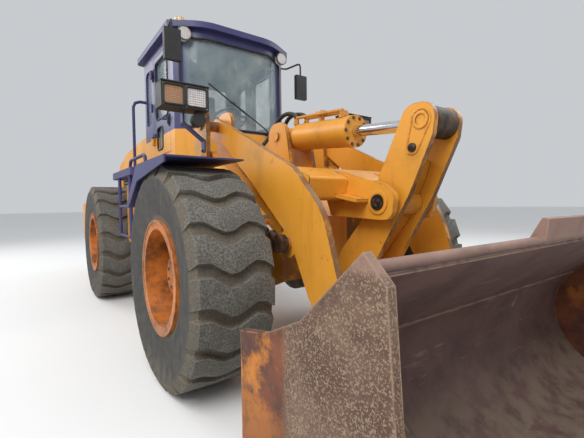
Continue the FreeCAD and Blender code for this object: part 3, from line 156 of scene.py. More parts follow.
class Shader:
    """A material that is wired up step by step."""

    def __init__(self, name):
        self.material = bpy.data.materials.new(name)
        self.material.use_nodes = True
        self.tree = self.material.node_tree
        self.tree.nodes.clear()
        self.out = self.tree.nodes.new("ShaderNodeOutputMaterial")
        self.surface = self.tree.nodes.new("ShaderNodeBsdfPrincipled")
        self.tree.links.new(self.surface.outputs[0], self.out.inputs["Surface"])
        self.place = self.tree.nodes.new("ShaderNodeTexCoord").outputs["Object"]

    def node(self, kind, **values):
        made = self.tree.nodes.new(kind)
        for name, value in values.items():
            setattr(made, name, value)
        return made

    def put(self, socket, value):
        if isinstance(value, bpy.types.NodeSocket):
            self.tree.links.new(value, socket)
        elif isinstance(value, (tuple, list)) and len(value) == 3 and socket.type == "RGBA":
            socket.default_value = tuple(value) + (1,)
        else:
            socket.default_value = value

    def fill(self, made, names, values):
        for name, value in zip(names, values):
            self.put(made.inputs[name], value)
        return made

    def noise(self, scale, detail, rough=0.55, stretch=None):
        place = self.mapped(stretch) if stretch else self.place
        made = self.fill(self.node("ShaderNodeTexNoise"), ("Vector", "Scale", "Detail", "Roughness"),
                         (place, scale, detail, rough))
        return made.outputs["Fac"]

    def cloud(self, scale, detail, low, high, rough=0.55, stretch=None):
        """Noise with its range from low to high drawn out over 0 to 1."""
        return self.ramp(self.noise(scale, detail, rough, stretch), low, high)

    def cells(self, scale):
        made = self.fill(self.node("ShaderNodeTexVoronoi"), ("Vector", "Scale"), (self.place, scale))
        return made.outputs["Distance"]

    def mapped(self, stretch=(1, 1, 1), shift=(0, 0, 0)):
        made = self.fill(self.node("ShaderNodeMapping"), ("Vector", "Scale", "Location"),
                         (self.place, stretch, shift))
        return made.outputs["Vector"]

    def math(self, operation, first, second=0.0, clamp=False):
        made = self.node("ShaderNodeMath", operation=operation, use_clamp=clamp)
        return self.fill(made, (0, 1), (first, second)).outputs[0]

    def plus(self, first, second):
        return self.math("ADD", first, second)

    def times(self, *factors):
        result = factors[0]
        for factor in factors[1:]:
            result = self.math("MULTIPLY", result, factor)
        return result

    def most(self, *values):
        result = values[0]
        for value in values[1:]:
            result = self.math("MAXIMUM", result, value, clamp=True)
        return result

    def part(self, axis, vector=None):
        made = self.node("ShaderNodeSeparateXYZ")
        self.put(made.inputs[0], vector or self.place)
        return made.outputs[axis]

    def around(self, centre):
        """The distance from the line across the machine through centre, and the place counted from centre."""
        local = self.mapped(shift=tuple(-centre))
        x, z = self.part(0, local), self.part(2, local)
        return self.math("SQRT", self.plus(self.times(x, x), self.times(z, z))), local

    def facing(self, axis):
        return self.part(axis, self.node("ShaderNodeNewGeometry").outputs["Normal"])

    def ramp(self, factor, low, high):
        """0 up to low, 1 from high, or the other way where high is under low."""
        made = self.node("ShaderNodeMapRange", interpolation_type="SMOOTHSTEP")
        ends = (low, high, 0.0, 1.0) if low < high else (high, low, 1.0, 0.0)
        self.fill(made, ("Value", "From Min", "From Max", "To Min", "To Max"), (factor,) + ends)
        return made.outputs["Result"]

    def mix(self, factor, first, second):
        # The colour sockets of this node are its inputs 6 and 7 and its output 2
        made = self.node("ShaderNodeMix", data_type="RGBA")
        return self.fill(made, (0, 6, 7), (factor, first, second)).outputs[2]

    def edges(self, radius):
        """1 on sharp edges, 0 on flat ground."""
        bevel = self.node("ShaderNodeBevel", samples=4)
        self.put(bevel.inputs["Radius"], radius)
        dot = self.node("ShaderNodeVectorMath", operation="DOT_PRODUCT")
        self.put(dot.inputs[0], bevel.outputs[0])
        self.put(dot.inputs[1], self.node("ShaderNodeNewGeometry").outputs["Normal"])
        return self.ramp(dot.outputs["Value"], 0.995, 0.90)

    def bump(self, height, strength, distance):
        made = self.fill(self.node("ShaderNodeBump"), ("Height", "Strength", "Distance"),
                         (height, strength, distance))
        self.put(self.surface.inputs["Normal"], made.outputs[0])

    def finish(self, base, rough, metal=0.0):
        self.fill(self.surface, ("Base Color", "Roughness", "Metallic"), (base, rough, metal))
        return self.material


# Finishes

def weather(s, ground, rust=0.5, dust=0.35, edge=0.7, gloss=0.36, low_dirt=0.5):
    """Chips at the edges, rust spots and streaks, dust on ledges and soil low down, over a ground colour."""
    look = looks()
    brown = linear(look.rust)
    chips = s.times(s.edges(0.007), s.cloud(23, 5, 0.40, 0.56), edge)
    spots = s.times(s.most(s.cloud(17, 8, 0.635, 0.69, 0.72), s.cloud(48, 4, 0.69, 0.73, 0.6)),
                    min(1, rust * 1.6))
    patch = s.cloud(2.3, 6, 0.64 - 0.10 * rust, 0.76, 0.7)
    blotch = s.times(patch, s.cloud(34, 5, 0.42, 0.60), min(1, rust * 1.4))
    streak = s.times(s.cloud(6, 5, 0.60, 0.74, 0.6, (1, 1, 0.12)), 0.5 * rust)
    rusted = s.math("MULTIPLY", s.most(chips, spots, blotch, streak), look.wear, clamp=True)
    tone = s.mix(s.noise(55, 3), brown, shade(brown, 0.35))
    ground = s.mix(rusted, ground, tone)
    up = s.times(s.ramp(s.facing(2), 0.45, 0.95), s.cloud(4, 6, 0.32, 0.66))
    low = s.times(s.ramp(s.part(2), 1.25, 0.2), s.cloud(7, 7, 0.42, 0.66, 0.65), low_dirt)
    dirt = s.times(s.most(up, low), dust)
    ground = s.mix(dirt, ground, shade(linear(look.dust), 0.62))
    rough = s.plus(gloss, s.times(s.most(rusted, dirt), 0.45))
    s.bump(s.plus(s.times(s.noise(110, 3), 0.25), s.times(rusted, 0.8)), 0.22, 0.0025)
    return s.finish(ground, rough)


def faded(s, rgb, depth=1.0):
    """Sun-bleached paint with paler and darker clouds and faint vertical runs."""
    base = linear(rgb)
    ground = s.mix(s.cloud(1.4, 5, 0.34, 0.68), tuple(min(1, c * 1.13 + 0.008) for c in base), base)
    runs = s.cloud(6, 6, 0.50, 0.78, 0.65, (1, 1, 0.16))
    ground = s.mix(s.times(runs, 0.55 * depth), ground, shade(base, 0.62))
    grime = s.cloud(2.6, 9, 0.55, 0.74, 0.74)
    return s.mix(s.times(grime, 0.35 * depth), ground, shade(base, 0.42))


def aged_paint(name, rgb, rust=0.5, dust=0.35, edge=0.7, low_dirt=0.5, gloss=0.36):
    s = Shader(name)
    return weather(s, faded(s, rgb), rust, dust, edge, gloss, low_dirt)


def tread_paint(name, rgb):
    """Trim paint on chequered plate: short raised bars that lie across each other on the upper faces."""
    s = Shader(name)
    finish = weather(s, faded(s, rgb), 0.25, 0.7, 0.6, 0.5)
    one = s.math("SINE", s.times(s.plus(s.part(0), s.part(1)), 150.0))
    other = s.math("SINE", s.times(s.math("SUBTRACT", s.part(0), s.part(1)), 150.0))
    bars = s.times(s.ramp(s.times(one, other), 0.35, 0.60), s.ramp(s.facing(2), 0.8, 0.95))
    s.bump(s.plus(s.times(bars, 2.0), s.times(s.noise(90, 3), 0.3)), 0.7, 0.004)
    return finish


def plate_paint(name, rgb, inner):
    """Body paint that has gone to rust-brown on the narrow faces of cut plates, which lie beyond inner."""
    s = Shader(name)
    ground = faded(s, rgb)
    across = s.math("ABSOLUTE", s.facing(1))
    front = s.ramp(s.facing(0), 0.15, 0.55)
    outside = s.ramp(s.math("ABSOLUTE", s.part(1)), inner, inner + 0.004)
    narrow = s.times(s.ramp(across, 0.6, 0.2), front, outside, s.cloud(6, 6, 0.34, 0.52, 0.7))
    brown = s.mix(s.noise(28, 6), linear((0.40, 0.27, 0.22)), linear((0.27, 0.18, 0.15)))
    ground = s.mix(s.times(narrow, 0.8), ground, brown)
    return weather(s, ground, 0.42, 0.35, 0.9)


def cab_paint(name):
    """Trim paint above the belt line, body paint below it."""
    s = Shader(name)
    look = looks()
    above = s.ramp(s.part(2), *BELT)
    ground = s.mix(above, faded(s, look.body), faded(s, look.trim, 0.6))
    return weather(s, ground, 0.3, 0.25, 0.6)


def tyre_rubber(place):
    """Grey rubber: speckled lug tops, tan grooves and groove edges, darker sides."""
    s = Shader("rubber " + place)
    look = looks()
    radius, local = s.around(PIVOT["wheel_" + place + "_spin"])
    away = s.math("ABSOLUTE", s.part(1, local))
    tread = s.times(s.ramp(radius, TREAD_FOOT, TREAD_FOOT + 0.04), s.ramp(away, 0.2405, 0.2385))
    groove = s.times(s.ramp(radius, 0.684, 0.664), tread)
    rubber = linear(look.rubber)
    speckle = s.cloud(95, 6, 0.40, 0.62, 0.8)
    patch = s.cloud(9, 6, 0.35, 0.68, 0.6)
    top = s.mix(speckle, shade(rubber, 0.40), shade(rubber, 1.30))
    top = s.mix(s.times(patch, 0.5), top, shade(rubber, 0.55))
    side = s.mix(s.cloud(11, 7, 0.32, 0.70, 0.7), shade(rubber, 0.22), shade(rubber, 0.42))
    scuff = s.times(s.cloud(60, 3, 0.60, 0.72, 0.5, (1, 1, 0.15)), 0.4)
    side = s.mix(scuff, side, shade(rubber, 0.95))
    ground = s.mix(tread, side, top)
    soil = linear(look.dust)
    ground = s.mix(s.times(groove, s.cloud(18, 5, 0.25, 0.60), 0.85), ground,
                   s.mix(s.noise(70, 4), shade(soil, 0.50), shade(soil, 0.16)))
    rim_dust = s.times(s.ramp(radius, 0.40, 0.365), 0.6)
    ground = s.mix(rim_dust, ground, shade(soil, 0.55))
    edge = s.times(s.edges(0.010), tread, s.cloud(30, 4, 0.35, 0.6), 0.7)
    ground = s.mix(edge, ground, shade(soil, 0.8))
    low = s.times(s.ramp(s.part(2), 0.35, 0.02), s.cloud(12, 6, 0.40, 0.62), 0.6)
    ground = s.mix(low, ground, shade(soil, 0.45))
    rings = s.math("SINE", s.times(radius, 520.0))
    relief = s.plus(s.times(s.noise(120, 6, 0.75), 0.9),
                    s.times(rings, s.ramp(radius, 0.54, 0.50), s.ramp(radius, 0.40, 0.42), 0.12))
    s.bump(relief, 0.55, 0.004)
    return s.finish(ground, 0.86)


def rim_paint(place):
    """Orange paint, deep rust in the dish and pale worn rings."""
    s = Shader("rim paint " + place)
    look = looks()
    radius, _ = s.around(PIVOT["wheel_" + place + "_spin"])
    ground = faded(s, look.rim)
    brown = s.mix(s.noise(24, 7, 0.7), linear((0.47, 0.26, 0.12)), linear((0.22, 0.12, 0.07)))
    worn = s.cloud(5.5, 8, 0.40, 0.62, 0.72)
    ground = s.mix(s.times(worn, 0.85), ground, brown)
    lines = s.times(s.ramp(s.math("ABSOLUTE", s.math("SUBTRACT", radius, 0.345)), 0.010, 0.003),
                    s.cloud(8, 4, 0.3, 0.6))
    ground = s.mix(s.times(lines, 0.7), ground, linear((0.68, 0.52, 0.36)))
    return weather(s, ground, 0.9, 0.25, 1.0, 0.45)


def bucket_steel(name):
    """Rusty worn plate: sanded side plates, a mauve scratched inside, a pale lip and some old paint behind."""
    s = Shader(name)
    look = looks()
    base = linear(look.bucket)
    side = s.ramp(s.math("ABSOLUTE", s.part(1)), *BUCKET_SIDE)
    along = s.part(0)
    inside = s.mix(s.cloud(3, 7, 0.35, 0.65, 0.7), shade(base, 1.05), shade(base, 0.62))
    scratch = s.cloud(9, 8, 0.60, 0.68, 0.72, (1, 0.14, 1))
    fine = s.cloud(34, 6, 0.62, 0.68, 0.7, (1, 0.12, 1))
    inside = s.mix(s.times(s.most(scratch, fine), 0.42), inside, linear((0.60, 0.55, 0.50)))
    low = s.times(s.ramp(s.part(2), 0.34, 0.05), s.cloud(10, 6, 0.35, 0.6), 0.55)
    inside = s.mix(low, inside, shade(linear(look.dust), 0.7))
    rusty = s.mix(s.cloud(4.2, 8, 0.38, 0.62, 0.7), linear((0.47, 0.26, 0.16)), linear((0.30, 0.18, 0.14)))
    old = s.times(s.cloud(3.4, 9, 0.44, 0.56, 0.75), s.ramp(along, FRONT + 1.62, FRONT + 1.40),
                  s.ramp(s.part(2), 0.25, 0.75))
    outer = s.mix(old, rusty, s.mix(s.noise(12, 5), linear((0.86, 0.55, 0.17)), linear((0.70, 0.40, 0.12))))
    front_plate = s.ramp(along, FRONT + 1.52, FRONT + 1.56)
    outer = s.mix(front_plate, outer, s.mix(s.cloud(5, 7, 0.35, 0.65, 0.7), linear((0.43, 0.33, 0.27)),
                                            linear((0.33, 0.22, 0.18))))
    grit = s.times(s.cloud(210, 3, 0.50, 0.62, 0.6), front_plate, s.cloud(2.2, 5, 0.28, 0.50), 0.75)
    outer = s.mix(grit, outer, linear((0.62, 0.55, 0.44)))
    ground = s.mix(side, inside, outer)
    rough = s.plus(0.55, s.times(s.noise(14, 5), 0.25))
    lip = s.times(s.ramp(s.part(2), 0.985, 1.01), s.ramp(along, FRONT + 1.60, FRONT + 1.70),
                  s.cloud(5, 6, 0.25, 0.5))
    pale = s.mix(s.noise(9, 6), linear((0.66, 0.53, 0.46)), linear((0.45, 0.34, 0.30)))
    ground = s.mix(s.times(lip, 0.8), ground, pale)
    edge = s.times(s.edges(0.008), s.cloud(20, 5, 0.32, 0.55))
    ground = s.mix(edge, ground, linear((0.62, 0.52, 0.43)))
    s.bump(s.plus(s.noise(45, 7, 0.75), s.times(s.noise(140, 3), 0.4)), 0.45, 0.004)
    return s.finish(ground, rough, 0.12)


def bright_steel(name, rgb, rough=0.12, marks=0.4):
    """Ground and plated steel with faint grease marks."""
    s = Shader(name)
    base = linear(rgb)
    smear = s.cloud(7, 6, 0.46, 0.70, 0.7, (0.3, 1, 1))
    ground = s.mix(s.times(smear, marks), base, shade(base, 0.35))
    s.bump(s.noise(150, 3, 0.6, (0.1, 1, 1)), 0.06, 0.001)
    return s.finish(ground, s.plus(rough, s.times(smear, 0.25)), 1.0)


def rod_chrome(name, eye, reach):
    """Plated rod whose eye is painted, greasy and caked with soil."""
    s = Shader(name)
    at_eye = s.ramp(s.around(eye)[0], reach, reach - 0.010)
    plated = s.mix(s.times(s.cloud(7, 6, 0.46, 0.70, 0.7, (0.3, 1, 1)), 0.35), linear((0.88, 0.88, 0.89)),
                   linear((0.48, 0.46, 0.44)))
    grease = s.mix(s.cloud(16, 7, 0.40, 0.60, 0.7), linear((0.33, 0.23, 0.15)), linear((0.09, 0.075, 0.065)))
    s.bump(s.times(s.noise(60, 6, 0.7), at_eye), 0.4, 0.004)
    return s.finish(s.mix(at_eye, plated, grease), s.plus(0.12, s.times(at_eye, 0.45)),
                    s.math("SUBTRACT", 1.0, s.times(at_eye, 0.85)))


def greasy_steel(name):
    """Dark steel with grease and caked soil."""
    s = Shader(name)
    ground = s.mix(s.cloud(20, 7, 0.38, 0.62, 0.7), linear((0.30, 0.24, 0.20)), linear((0.10, 0.08, 0.07)))
    s.bump(s.noise(60, 6, 0.7), 0.4, 0.004)
    return s.finish(ground, s.plus(0.35, s.times(s.noise(18, 4), 0.4)), 0.5)


def dull_plastic(name, rgb, dust=0.35, grain=180.0):
    """Moulded plastic or rubber with a fine grain and dust on top."""
    s = Shader(name)
    base = linear(rgb)
    ground = s.mix(s.cloud(6, 6, 0.35, 0.70), shade(base, 1.5), base)
    up = s.times(s.ramp(s.facing(2), 0.1, 0.9), s.cloud(16, 6, 0.35, 0.62), dust)
    ground = s.mix(up, ground, shade(linear(looks().dust), 0.6))
    s.bump(s.noise(grain, 4), 0.25, 0.0015)
    return s.finish(ground, s.plus(0.46, s.times(s.noise(9, 4), 0.25)))


def clear_glass(name):
    """Tinted pane with dust that gathers low and in the corners."""
    s = Shader(name)
    dusty = s.times(s.cloud(3.5, 8, 0.38, 0.74, 0.7), 0.5)
    wiped = s.most(dusty, s.times(s.ramp(s.part(2), 2.20, 1.90), 0.35))
    tint = s.mix(wiped, linear((0.66, 0.74, 0.76)), linear((0.70, 0.68, 0.62)))
    s.surface.inputs["IOR"].default_value = 1.45
    s.put(s.surface.inputs["Alpha"], s.plus(0.20, s.times(wiped, 0.45)))
    return s.finish(tint, s.plus(0.04, s.times(wiped, 0.30)))


def lamp_glass(name, rgb, pitch, painted_glow=0.0):
    """Ribbed lamp cover, with a faint painted glow that stands for light from its reflector and painted shade in
    its rib hollows.
    """
    s = Shader(name)
    base = linear(rgb)
    ribs = s.math("SINE", s.times(s.part(1), TAU / pitch))
    cross = s.math("SINE", s.times(s.part(2), TAU / pitch))
    relief = s.plus(ribs, cross)
    # Painted shade: the hollows between the ribs get a darker copy of the glass colour, on top of the bump.
    ground = s.mix(s.ramp(relief, -1.2, 1.2), shade(base, 0.62), base)
    ground = s.mix(s.times(s.cloud(24, 6, 0.45, 0.7), 0.35), ground, shade(linear(looks().dust), 0.6))
    s.bump(relief, 0.6, 0.002)
    s.surface.inputs["Coat Weight"].default_value = 0.8
    s.surface.inputs["Coat Roughness"].default_value = 0.06
    # Painted light: emission makes the cover glow faintly, standing for the reflector's shine.
    if painted_glow:
        s.put(s.surface.inputs["Emission Color"], base)
        s.surface.inputs["Emission Strength"].default_value = painted_glow
    return s.finish(ground, 0.22)


def seat_vinyl(name):
    """Black vinyl with a fine pebble grain, dusty on top."""
    s = Shader(name)
    pebble = s.cells(420.0)
    ground = s.mix(s.cloud(7, 5, 0.3, 0.7), linear((0.13, 0.13, 0.14)), linear((0.19, 0.18, 0.18)))
    ground = s.mix(s.times(s.ramp(s.facing(2), 0.4, 1.0), s.cloud(14, 6, 0.4, 0.7), 0.4), ground,
                   shade(linear(looks().dust), 0.5))
    s.bump(pebble, 0.35, 0.0015)
    return s.finish(ground, 0.5)


# Tools for modelling

def clear():
    bpy.ops.object.select_all(action="DESELECT")


def pick(*things):
    clear()
    for thing in things:
        thing.select_set(True)
    bpy.context.view_layer.objects.active = things[0]
    return things[0]


def edit(thing):
    pick(thing)
    bpy.ops.object.mode_set(mode="EDIT")
    bpy.ops.mesh.select_all(action="SELECT")


def leave():
    bpy.ops.object.mode_set(mode="OBJECT")
    return bpy.context.object


def settle(thing):
    """Puts the object's place into its mesh."""
    pick(thing)
    bpy.ops.object.transform_apply(location=True, rotation=True, scale=True)
    return thing


def join(things):
    pick(*things)
    if len(things) > 1:
        bpy.ops.object.join()
    return settle(bpy.context.object)


def lay(thing, place, axis=(0, 0, 1)):
    """Turns a piece that stands on the origin along z to stand at a place along an axis."""
    turn = Vector(axis).to_track_quat("Z", "Y").to_matrix()
    thing.matrix_world = Matrix.Translation(place) @ turn.to_4x4()
    return settle(thing)


def block(size, centre, ease=0.004, steps=2):
    """A bar or plate with eased edges."""
    clear()
    bpy.ops.mesh.primitive_cube_add(size=1, location=centre)
    edit(bpy.context.object)
    bpy.ops.transform.resize(value=size, center_override=centre)
    bpy.ops.mesh.bevel(offset=min(ease, 0.45 * min(size)), segments=steps, affect="EDGES")
    return settle(leave())


def turned(stations, sides=24):
    """A turned part on the origin: circles of (height, radius), one drawn out of the other."""
    clear()
    height, radius = stations[0]
    bpy.ops.mesh.primitive_circle_add(vertices=sides, radius=radius, fill_type="NGON", location=(0, 0, height))
    thing = bpy.context.object
    edit(thing)
    for higher, wider in stations[1:]:
        bpy.ops.mesh.extrude_region_move(TRANSFORM_OT_translate={"value": (0, 0, higher - height)})
        bpy.ops.transform.resize(value=(wider / radius, wider / radius, 1), center_override=(0, 0, higher))
        height, radius = higher, wider
    bpy.ops.mesh.select_all(action="SELECT")
    bpy.ops.mesh.normals_make_consistent(inside=False)
    return settle(leave())


def ring(outer, inner, depth, sides=36, ease=0.002):
    """A flat ring on the origin, with eased edges."""
    clear()
    bpy.ops.mesh.primitive_circle_add(vertices=sides, radius=outer, fill_type="NGON")
    thing = bpy.context.object
    edit(thing)
    bpy.ops.mesh.inset(thickness=(outer - inner) * math.cos(math.pi / sides))
    bpy.ops.mesh.delete(type="FACE")
    bpy.ops.mesh.select_all(action="SELECT")
    bpy.ops.mesh.extrude_region_move(TRANSFORM_OT_translate={"value": (0, 0, depth)})
    bpy.ops.mesh.select_all(action="SELECT")
    bpy.ops.mesh.normals_make_consistent(inside=False)
    leave()
    return ease_edges(thing, ease)


def ease_edges(thing, width, steps=2, angle=30):
    pick(thing)
    modifier = thing.modifiers.new("eased edges", "BEVEL")
    modifier.width = width
    modifier.segments = steps
    modifier.limit_method = "ANGLE"
    modifier.angle_limit = math.radians(angle)
    bpy.ops.object.modifier_apply(modifier=modifier.name)
    return thing


def bolt(radius, height=0.7):
    """A hexagon head on its washer, on the origin. Its height counts in radii."""
    foot, wide, face = 0.16 * radius, 1.30 * radius, 1.05 * radius
    washer = turned(((0, wide), (foot, wide)), 18)
    head = turned(((foot, face), (height * radius, face), (height * radius + 0.1 * radius, 0.86 * radius)), 6)
    return join([washer, head])


def stud(radius, height):
    """A low domed head, on the origin. Its height counts in radii."""
    return turned(((0, radius), (0.55 * height * radius, 0.97 * radius),
                   (0.85 * height * radius, 0.72 * radius), (height * radius, 0.30 * radius)), 14)


def copies(first, spots):
    """A piece modelled once and set at each (place, axis), as one object."""
    made = []
    for place, axis in spots:
        other = first.copy()
        other.data = first.data.copy()
        bpy.context.collection.objects.link(other)
        made.append(lay(other, place, axis))
    bpy.data.objects.remove(first)
    return join(made)


def line(points, radius, order=3, sides=3, loop=False):
    """A round bar, pipe, hose or rubber strip that follows points."""
    curve = bpy.data.curves.new("line", "CURVE")
    curve.dimensions = "3D"
    curve.bevel_depth = radius
    curve.bevel_resolution = sides
    curve.use_fill_caps = not loop
    spline = curve.splines.new("NURBS" if order else "POLY")
    spline.points.add(len(points) - 1)
    for slot, point in zip(spline.points, points):
        slot.co = (*point, 1)
    spline.use_cyclic_u = loop
    if order:
        spline.order_u = order
        spline.use_endpoint_u = not loop
        spline.resolution_u = 6
    thing = bpy.data.objects.new("line", curve)
    bpy.context.collection.objects.link(thing)
    pick(thing)
    bpy.ops.object.convert(target="MESH")
    return settle(bpy.context.object)


def rounded(corners, radius, steps=3):
    """The loop through flat corners, each cut back and turned through a small arc."""
    points = []
    count = len(corners)
    for index in range(count):
        here = Vector(corners[index])
        before = (Vector(corners[index - 1]) - here).normalized()
        after = (Vector(corners[(index + 1) % count]) - here).normalized()
        start, end = here + before * radius, here + after * radius
        for step in range(steps + 1):
            t = step / steps
            points.append(start * (1 - t) ** 2 + here * 2 * t * (1 - t) + end * t ** 2)
    return points


def strike(nodes, start, axis):
    """Where a line from start first meets one of the nodes."""
    start, axis = Vector(start), Vector(axis).normalized()
    casts = [NODES[name].ray_cast(start, axis) for name in nodes]
    met = [place for hit, place, _, _ in casts if hit]
    if not met:
        raise RuntimeError(f"no surface of {nodes} on the line from {tuple(start)}")
    return min(met, key=lambda place: (place - start).length)


def beside(x, z, side, *nodes):
    """The outermost place of the nodes at x and z, seen from one side."""
    return strike(nodes, (x, FAR * side, z), (0, -side, 0))


def circle(count, phase=0.0):
    """The angles of count places round a circle."""
    return [TAU * (index + phase) / count for index in range(count)]


def piece(thing, name, body, material, angle=35):
    """Names a finished piece, gives it its finish and its slot, and lets it ride a body unless that is None."""
    thing.name = name
    thing.data.name = name
    thing.data.materials.clear()
    thing.data.materials.append(paint(material))
    settle(thing)
    bpy.ops.object.shade_smooth_by_angle(angle=math.radians(angle))
    if body:
        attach(thing, body)
    return thing


def wavy(tyre, centre, side):
    """Cuts the tread across in slices and turns them to and fro, so that the lugs wave."""
    wave, lead, blend = 0.30, 0.05, 0.03  # length of a wave, where it starts, radius over which it sets in
    for slice_place in (-0.16, -0.11, -0.06, -0.01, 0.04, 0.09, 0.14):
        edit(tyre)
        bpy.ops.mesh.bisect(plane_co=(centre.x, centre.y + slice_place * side, centre.z), plane_no=(0, 1, 0))
        leave()
    for vertex in tyre.data.vertices:
        arm = vertex.co - centre
        reach = math.hypot(arm.x, arm.z)
        if reach > TREAD_FOOT:
            swing = math.sin(TAU * (arm.y * side + lead) / wave)
            shift = trim().lug_wave * swing * min(1, (reach - TREAD_FOOT) / blend)
            within = min(1, centre.z / reach)  # keeps the lugs inside the tyre's radius
            arm = Vector((arm.x * within, arm.y, arm.z * within))
            vertex.co = centre + Matrix.Rotation(shift / reach, 3, "Y") @ arm
    return tyre


def twin(node):
    """A merged copy of a solid's mesh."""
    thing = NODES[node].copy()
    thing.data = NODES[node].data.copy()
    thing.parent = None
    bpy.context.collection.objects.link(thing)
    thing.matrix_world = Matrix.Identity(4)
    edit(thing)
    bpy.ops.mesh.remove_doubles(threshold=0.0002)
    leave()
    return thing


class LOADER_OT_finishes(bpy.types.Operator):
    """Weathered finishes on all the solids"""
    bl_idname = "loader.finishes"
    bl_label = "Finishes"

    def execute(self, context):
        look = looks()
        made = {
            "yellow_paint": aged_paint("body paint", look.body, 0.42, 0.35),
            "navy_paint": aged_paint("trim paint", look.trim, 0.16, 0.5, 0.45, gloss=0.52),
            "tank_paint": aged_paint("tank paint", shade(look.body, 0.93), 0.55, 0.55),
            "dark_paint": aged_paint("dark paint", (0.17, 0.15, 0.13), 0.5, 0.9, 0.5, 0.9),
            "engine_grey": aged_paint("engine paint", (0.33, 0.33, 0.31), 0.5, 0.9),
            "bucket_steel": bucket_steel("bucket steel"),
            "worn_steel": bright_steel("edge steel", (0.66, 0.58, 0.50), 0.42, 0.6),
            "pin_steel": greasy_steel("pin steel"),
            "rod_chrome": bright_steel("rod chrome", (0.86, 0.86, 0.87)),
            "window_glass": clear_glass("window glass"),
            # The last number is the strength of the painted glow in the headlamp glass.
            "lamp_lens": lamp_glass("lamp glass", (0.80, 0.78, 0.78), 0.016, 0.05),
            "amber_lens": lamp_glass("amber glass", (0.66, 0.46, 0.28), 0.012),
            "black_plastic": dull_plastic("black plastic", (0.12, 0.12, 0.12)),
            "seat_vinyl": seat_vinyl("seat vinyl"),
        }
        plates = plate_paint("plate paint", look.body, 0.09)
        cab = cab_paint("cab paint")
        dull_plastic("hose rubber", (0.10, 0.10, 0.10), 0.5, 320.0)
        dull_plastic("gasket rubber", (0.09, 0.09, 0.09), 0.3, 500.0)
        bright_steel("bolt steel", (0.50, 0.44, 0.38), 0.40, 0.8)
        lamp_glass("red glass", (0.62, 0.10, 0.08), 0.012)
        aged_paint("soot steel", (0.23, 0.18, 0.15), 1.2, 0.4)
        own = {
            "platforms": tread_paint("tread plate paint", look.trim),
            "boom": plate_paint("boom paint", look.body, 0.49),
            "tilt_rod": rod_chrome("tilt rod chrome", TILT_EYE, 0.135),
            "lift_rods": rod_chrome("lift rod chrome", LIFT_EYE, 0.115),
            "dash": dull_plastic("dash plastic", (0.30, 0.29, 0.28), 0.6),
            "exhaust": paint("soot steel"),
            "beacon": lamp_glass("beacon glass", (0.86, 0.74, 0.50), 0.02),
            **dict.fromkeys(("rocker", "link", "front_frame"), plates),
            **dict.fromkeys(("cab_shell", "door_right", "door_left"), cab),
        }
        for place in WHEELS:
            own["tyre_" + place] = tyre_rubber(place)
            own["rim_" + place] = rim_paint(place)
        slots = {entry["node"]: entry["material_slot"] for entry in frame["record"]["subparts"]}
        for name, thing in NODES.items():
            thing.data.materials.clear()
            thing.data.materials.append(own.get(name) or made[slots[name]])
        return {"FINISHED"}


class LOADER_OT_wheels(bpy.types.Operator):
    """Tyres with eased lugs, wheel nuts and lock rings"""
    bl_idname = "loader.wheels"
    bl_label = "Wheels"

    def execute(self, context):
        for place in WHEELS:
            body = "wheel_" + place
            centre = PIVOT[body + "_spin"]
            side = 1 if centre.y > 0 else -1
            outward = Vector((0, side, 0))
            tyre = ease_edges(wavy(twin("tyre_" + place), centre, side), trim().lug_edge, 2, 40)
            tyre = piece(tyre, "lugged_tyre_" + place, body, "rubber " + place, 50)
            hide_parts("tyre_" + place)
            rim = "rim_" + place
            # Name, count, part of a step to turn the first by, radius of their circle, head and its height
            for name, count, phase, reach, head, height in (("wheel_nuts_", 16, 0.0, 0.205, 0.016, 1.1),
                                                            ("hub_bolts_", 8, 0.5, 0.085, 0.009, 0.7)):
                spots = []
                for turn in circle(count, phase):
                    arm = Vector((math.cos(turn), 0, math.sin(turn)))
                    spots.append((strike([rim], centre + arm * reach + outward, -outward), outward))
                piece(copies(bolt(head, height), spots), name + place, body, "bolt steel")
            lip = strike([rim], centre + Vector((0.352, 0, 0)) + outward, -outward)
            band = lay(ring(0.360, 0.346, 0.010, 64, 0.003), (centre.x, lip.y - 0.004 * side, centre.z), outward)
            piece(band, "lock_ring_" + place, body, "rim paint " + place)
        return {"FINISHED"}


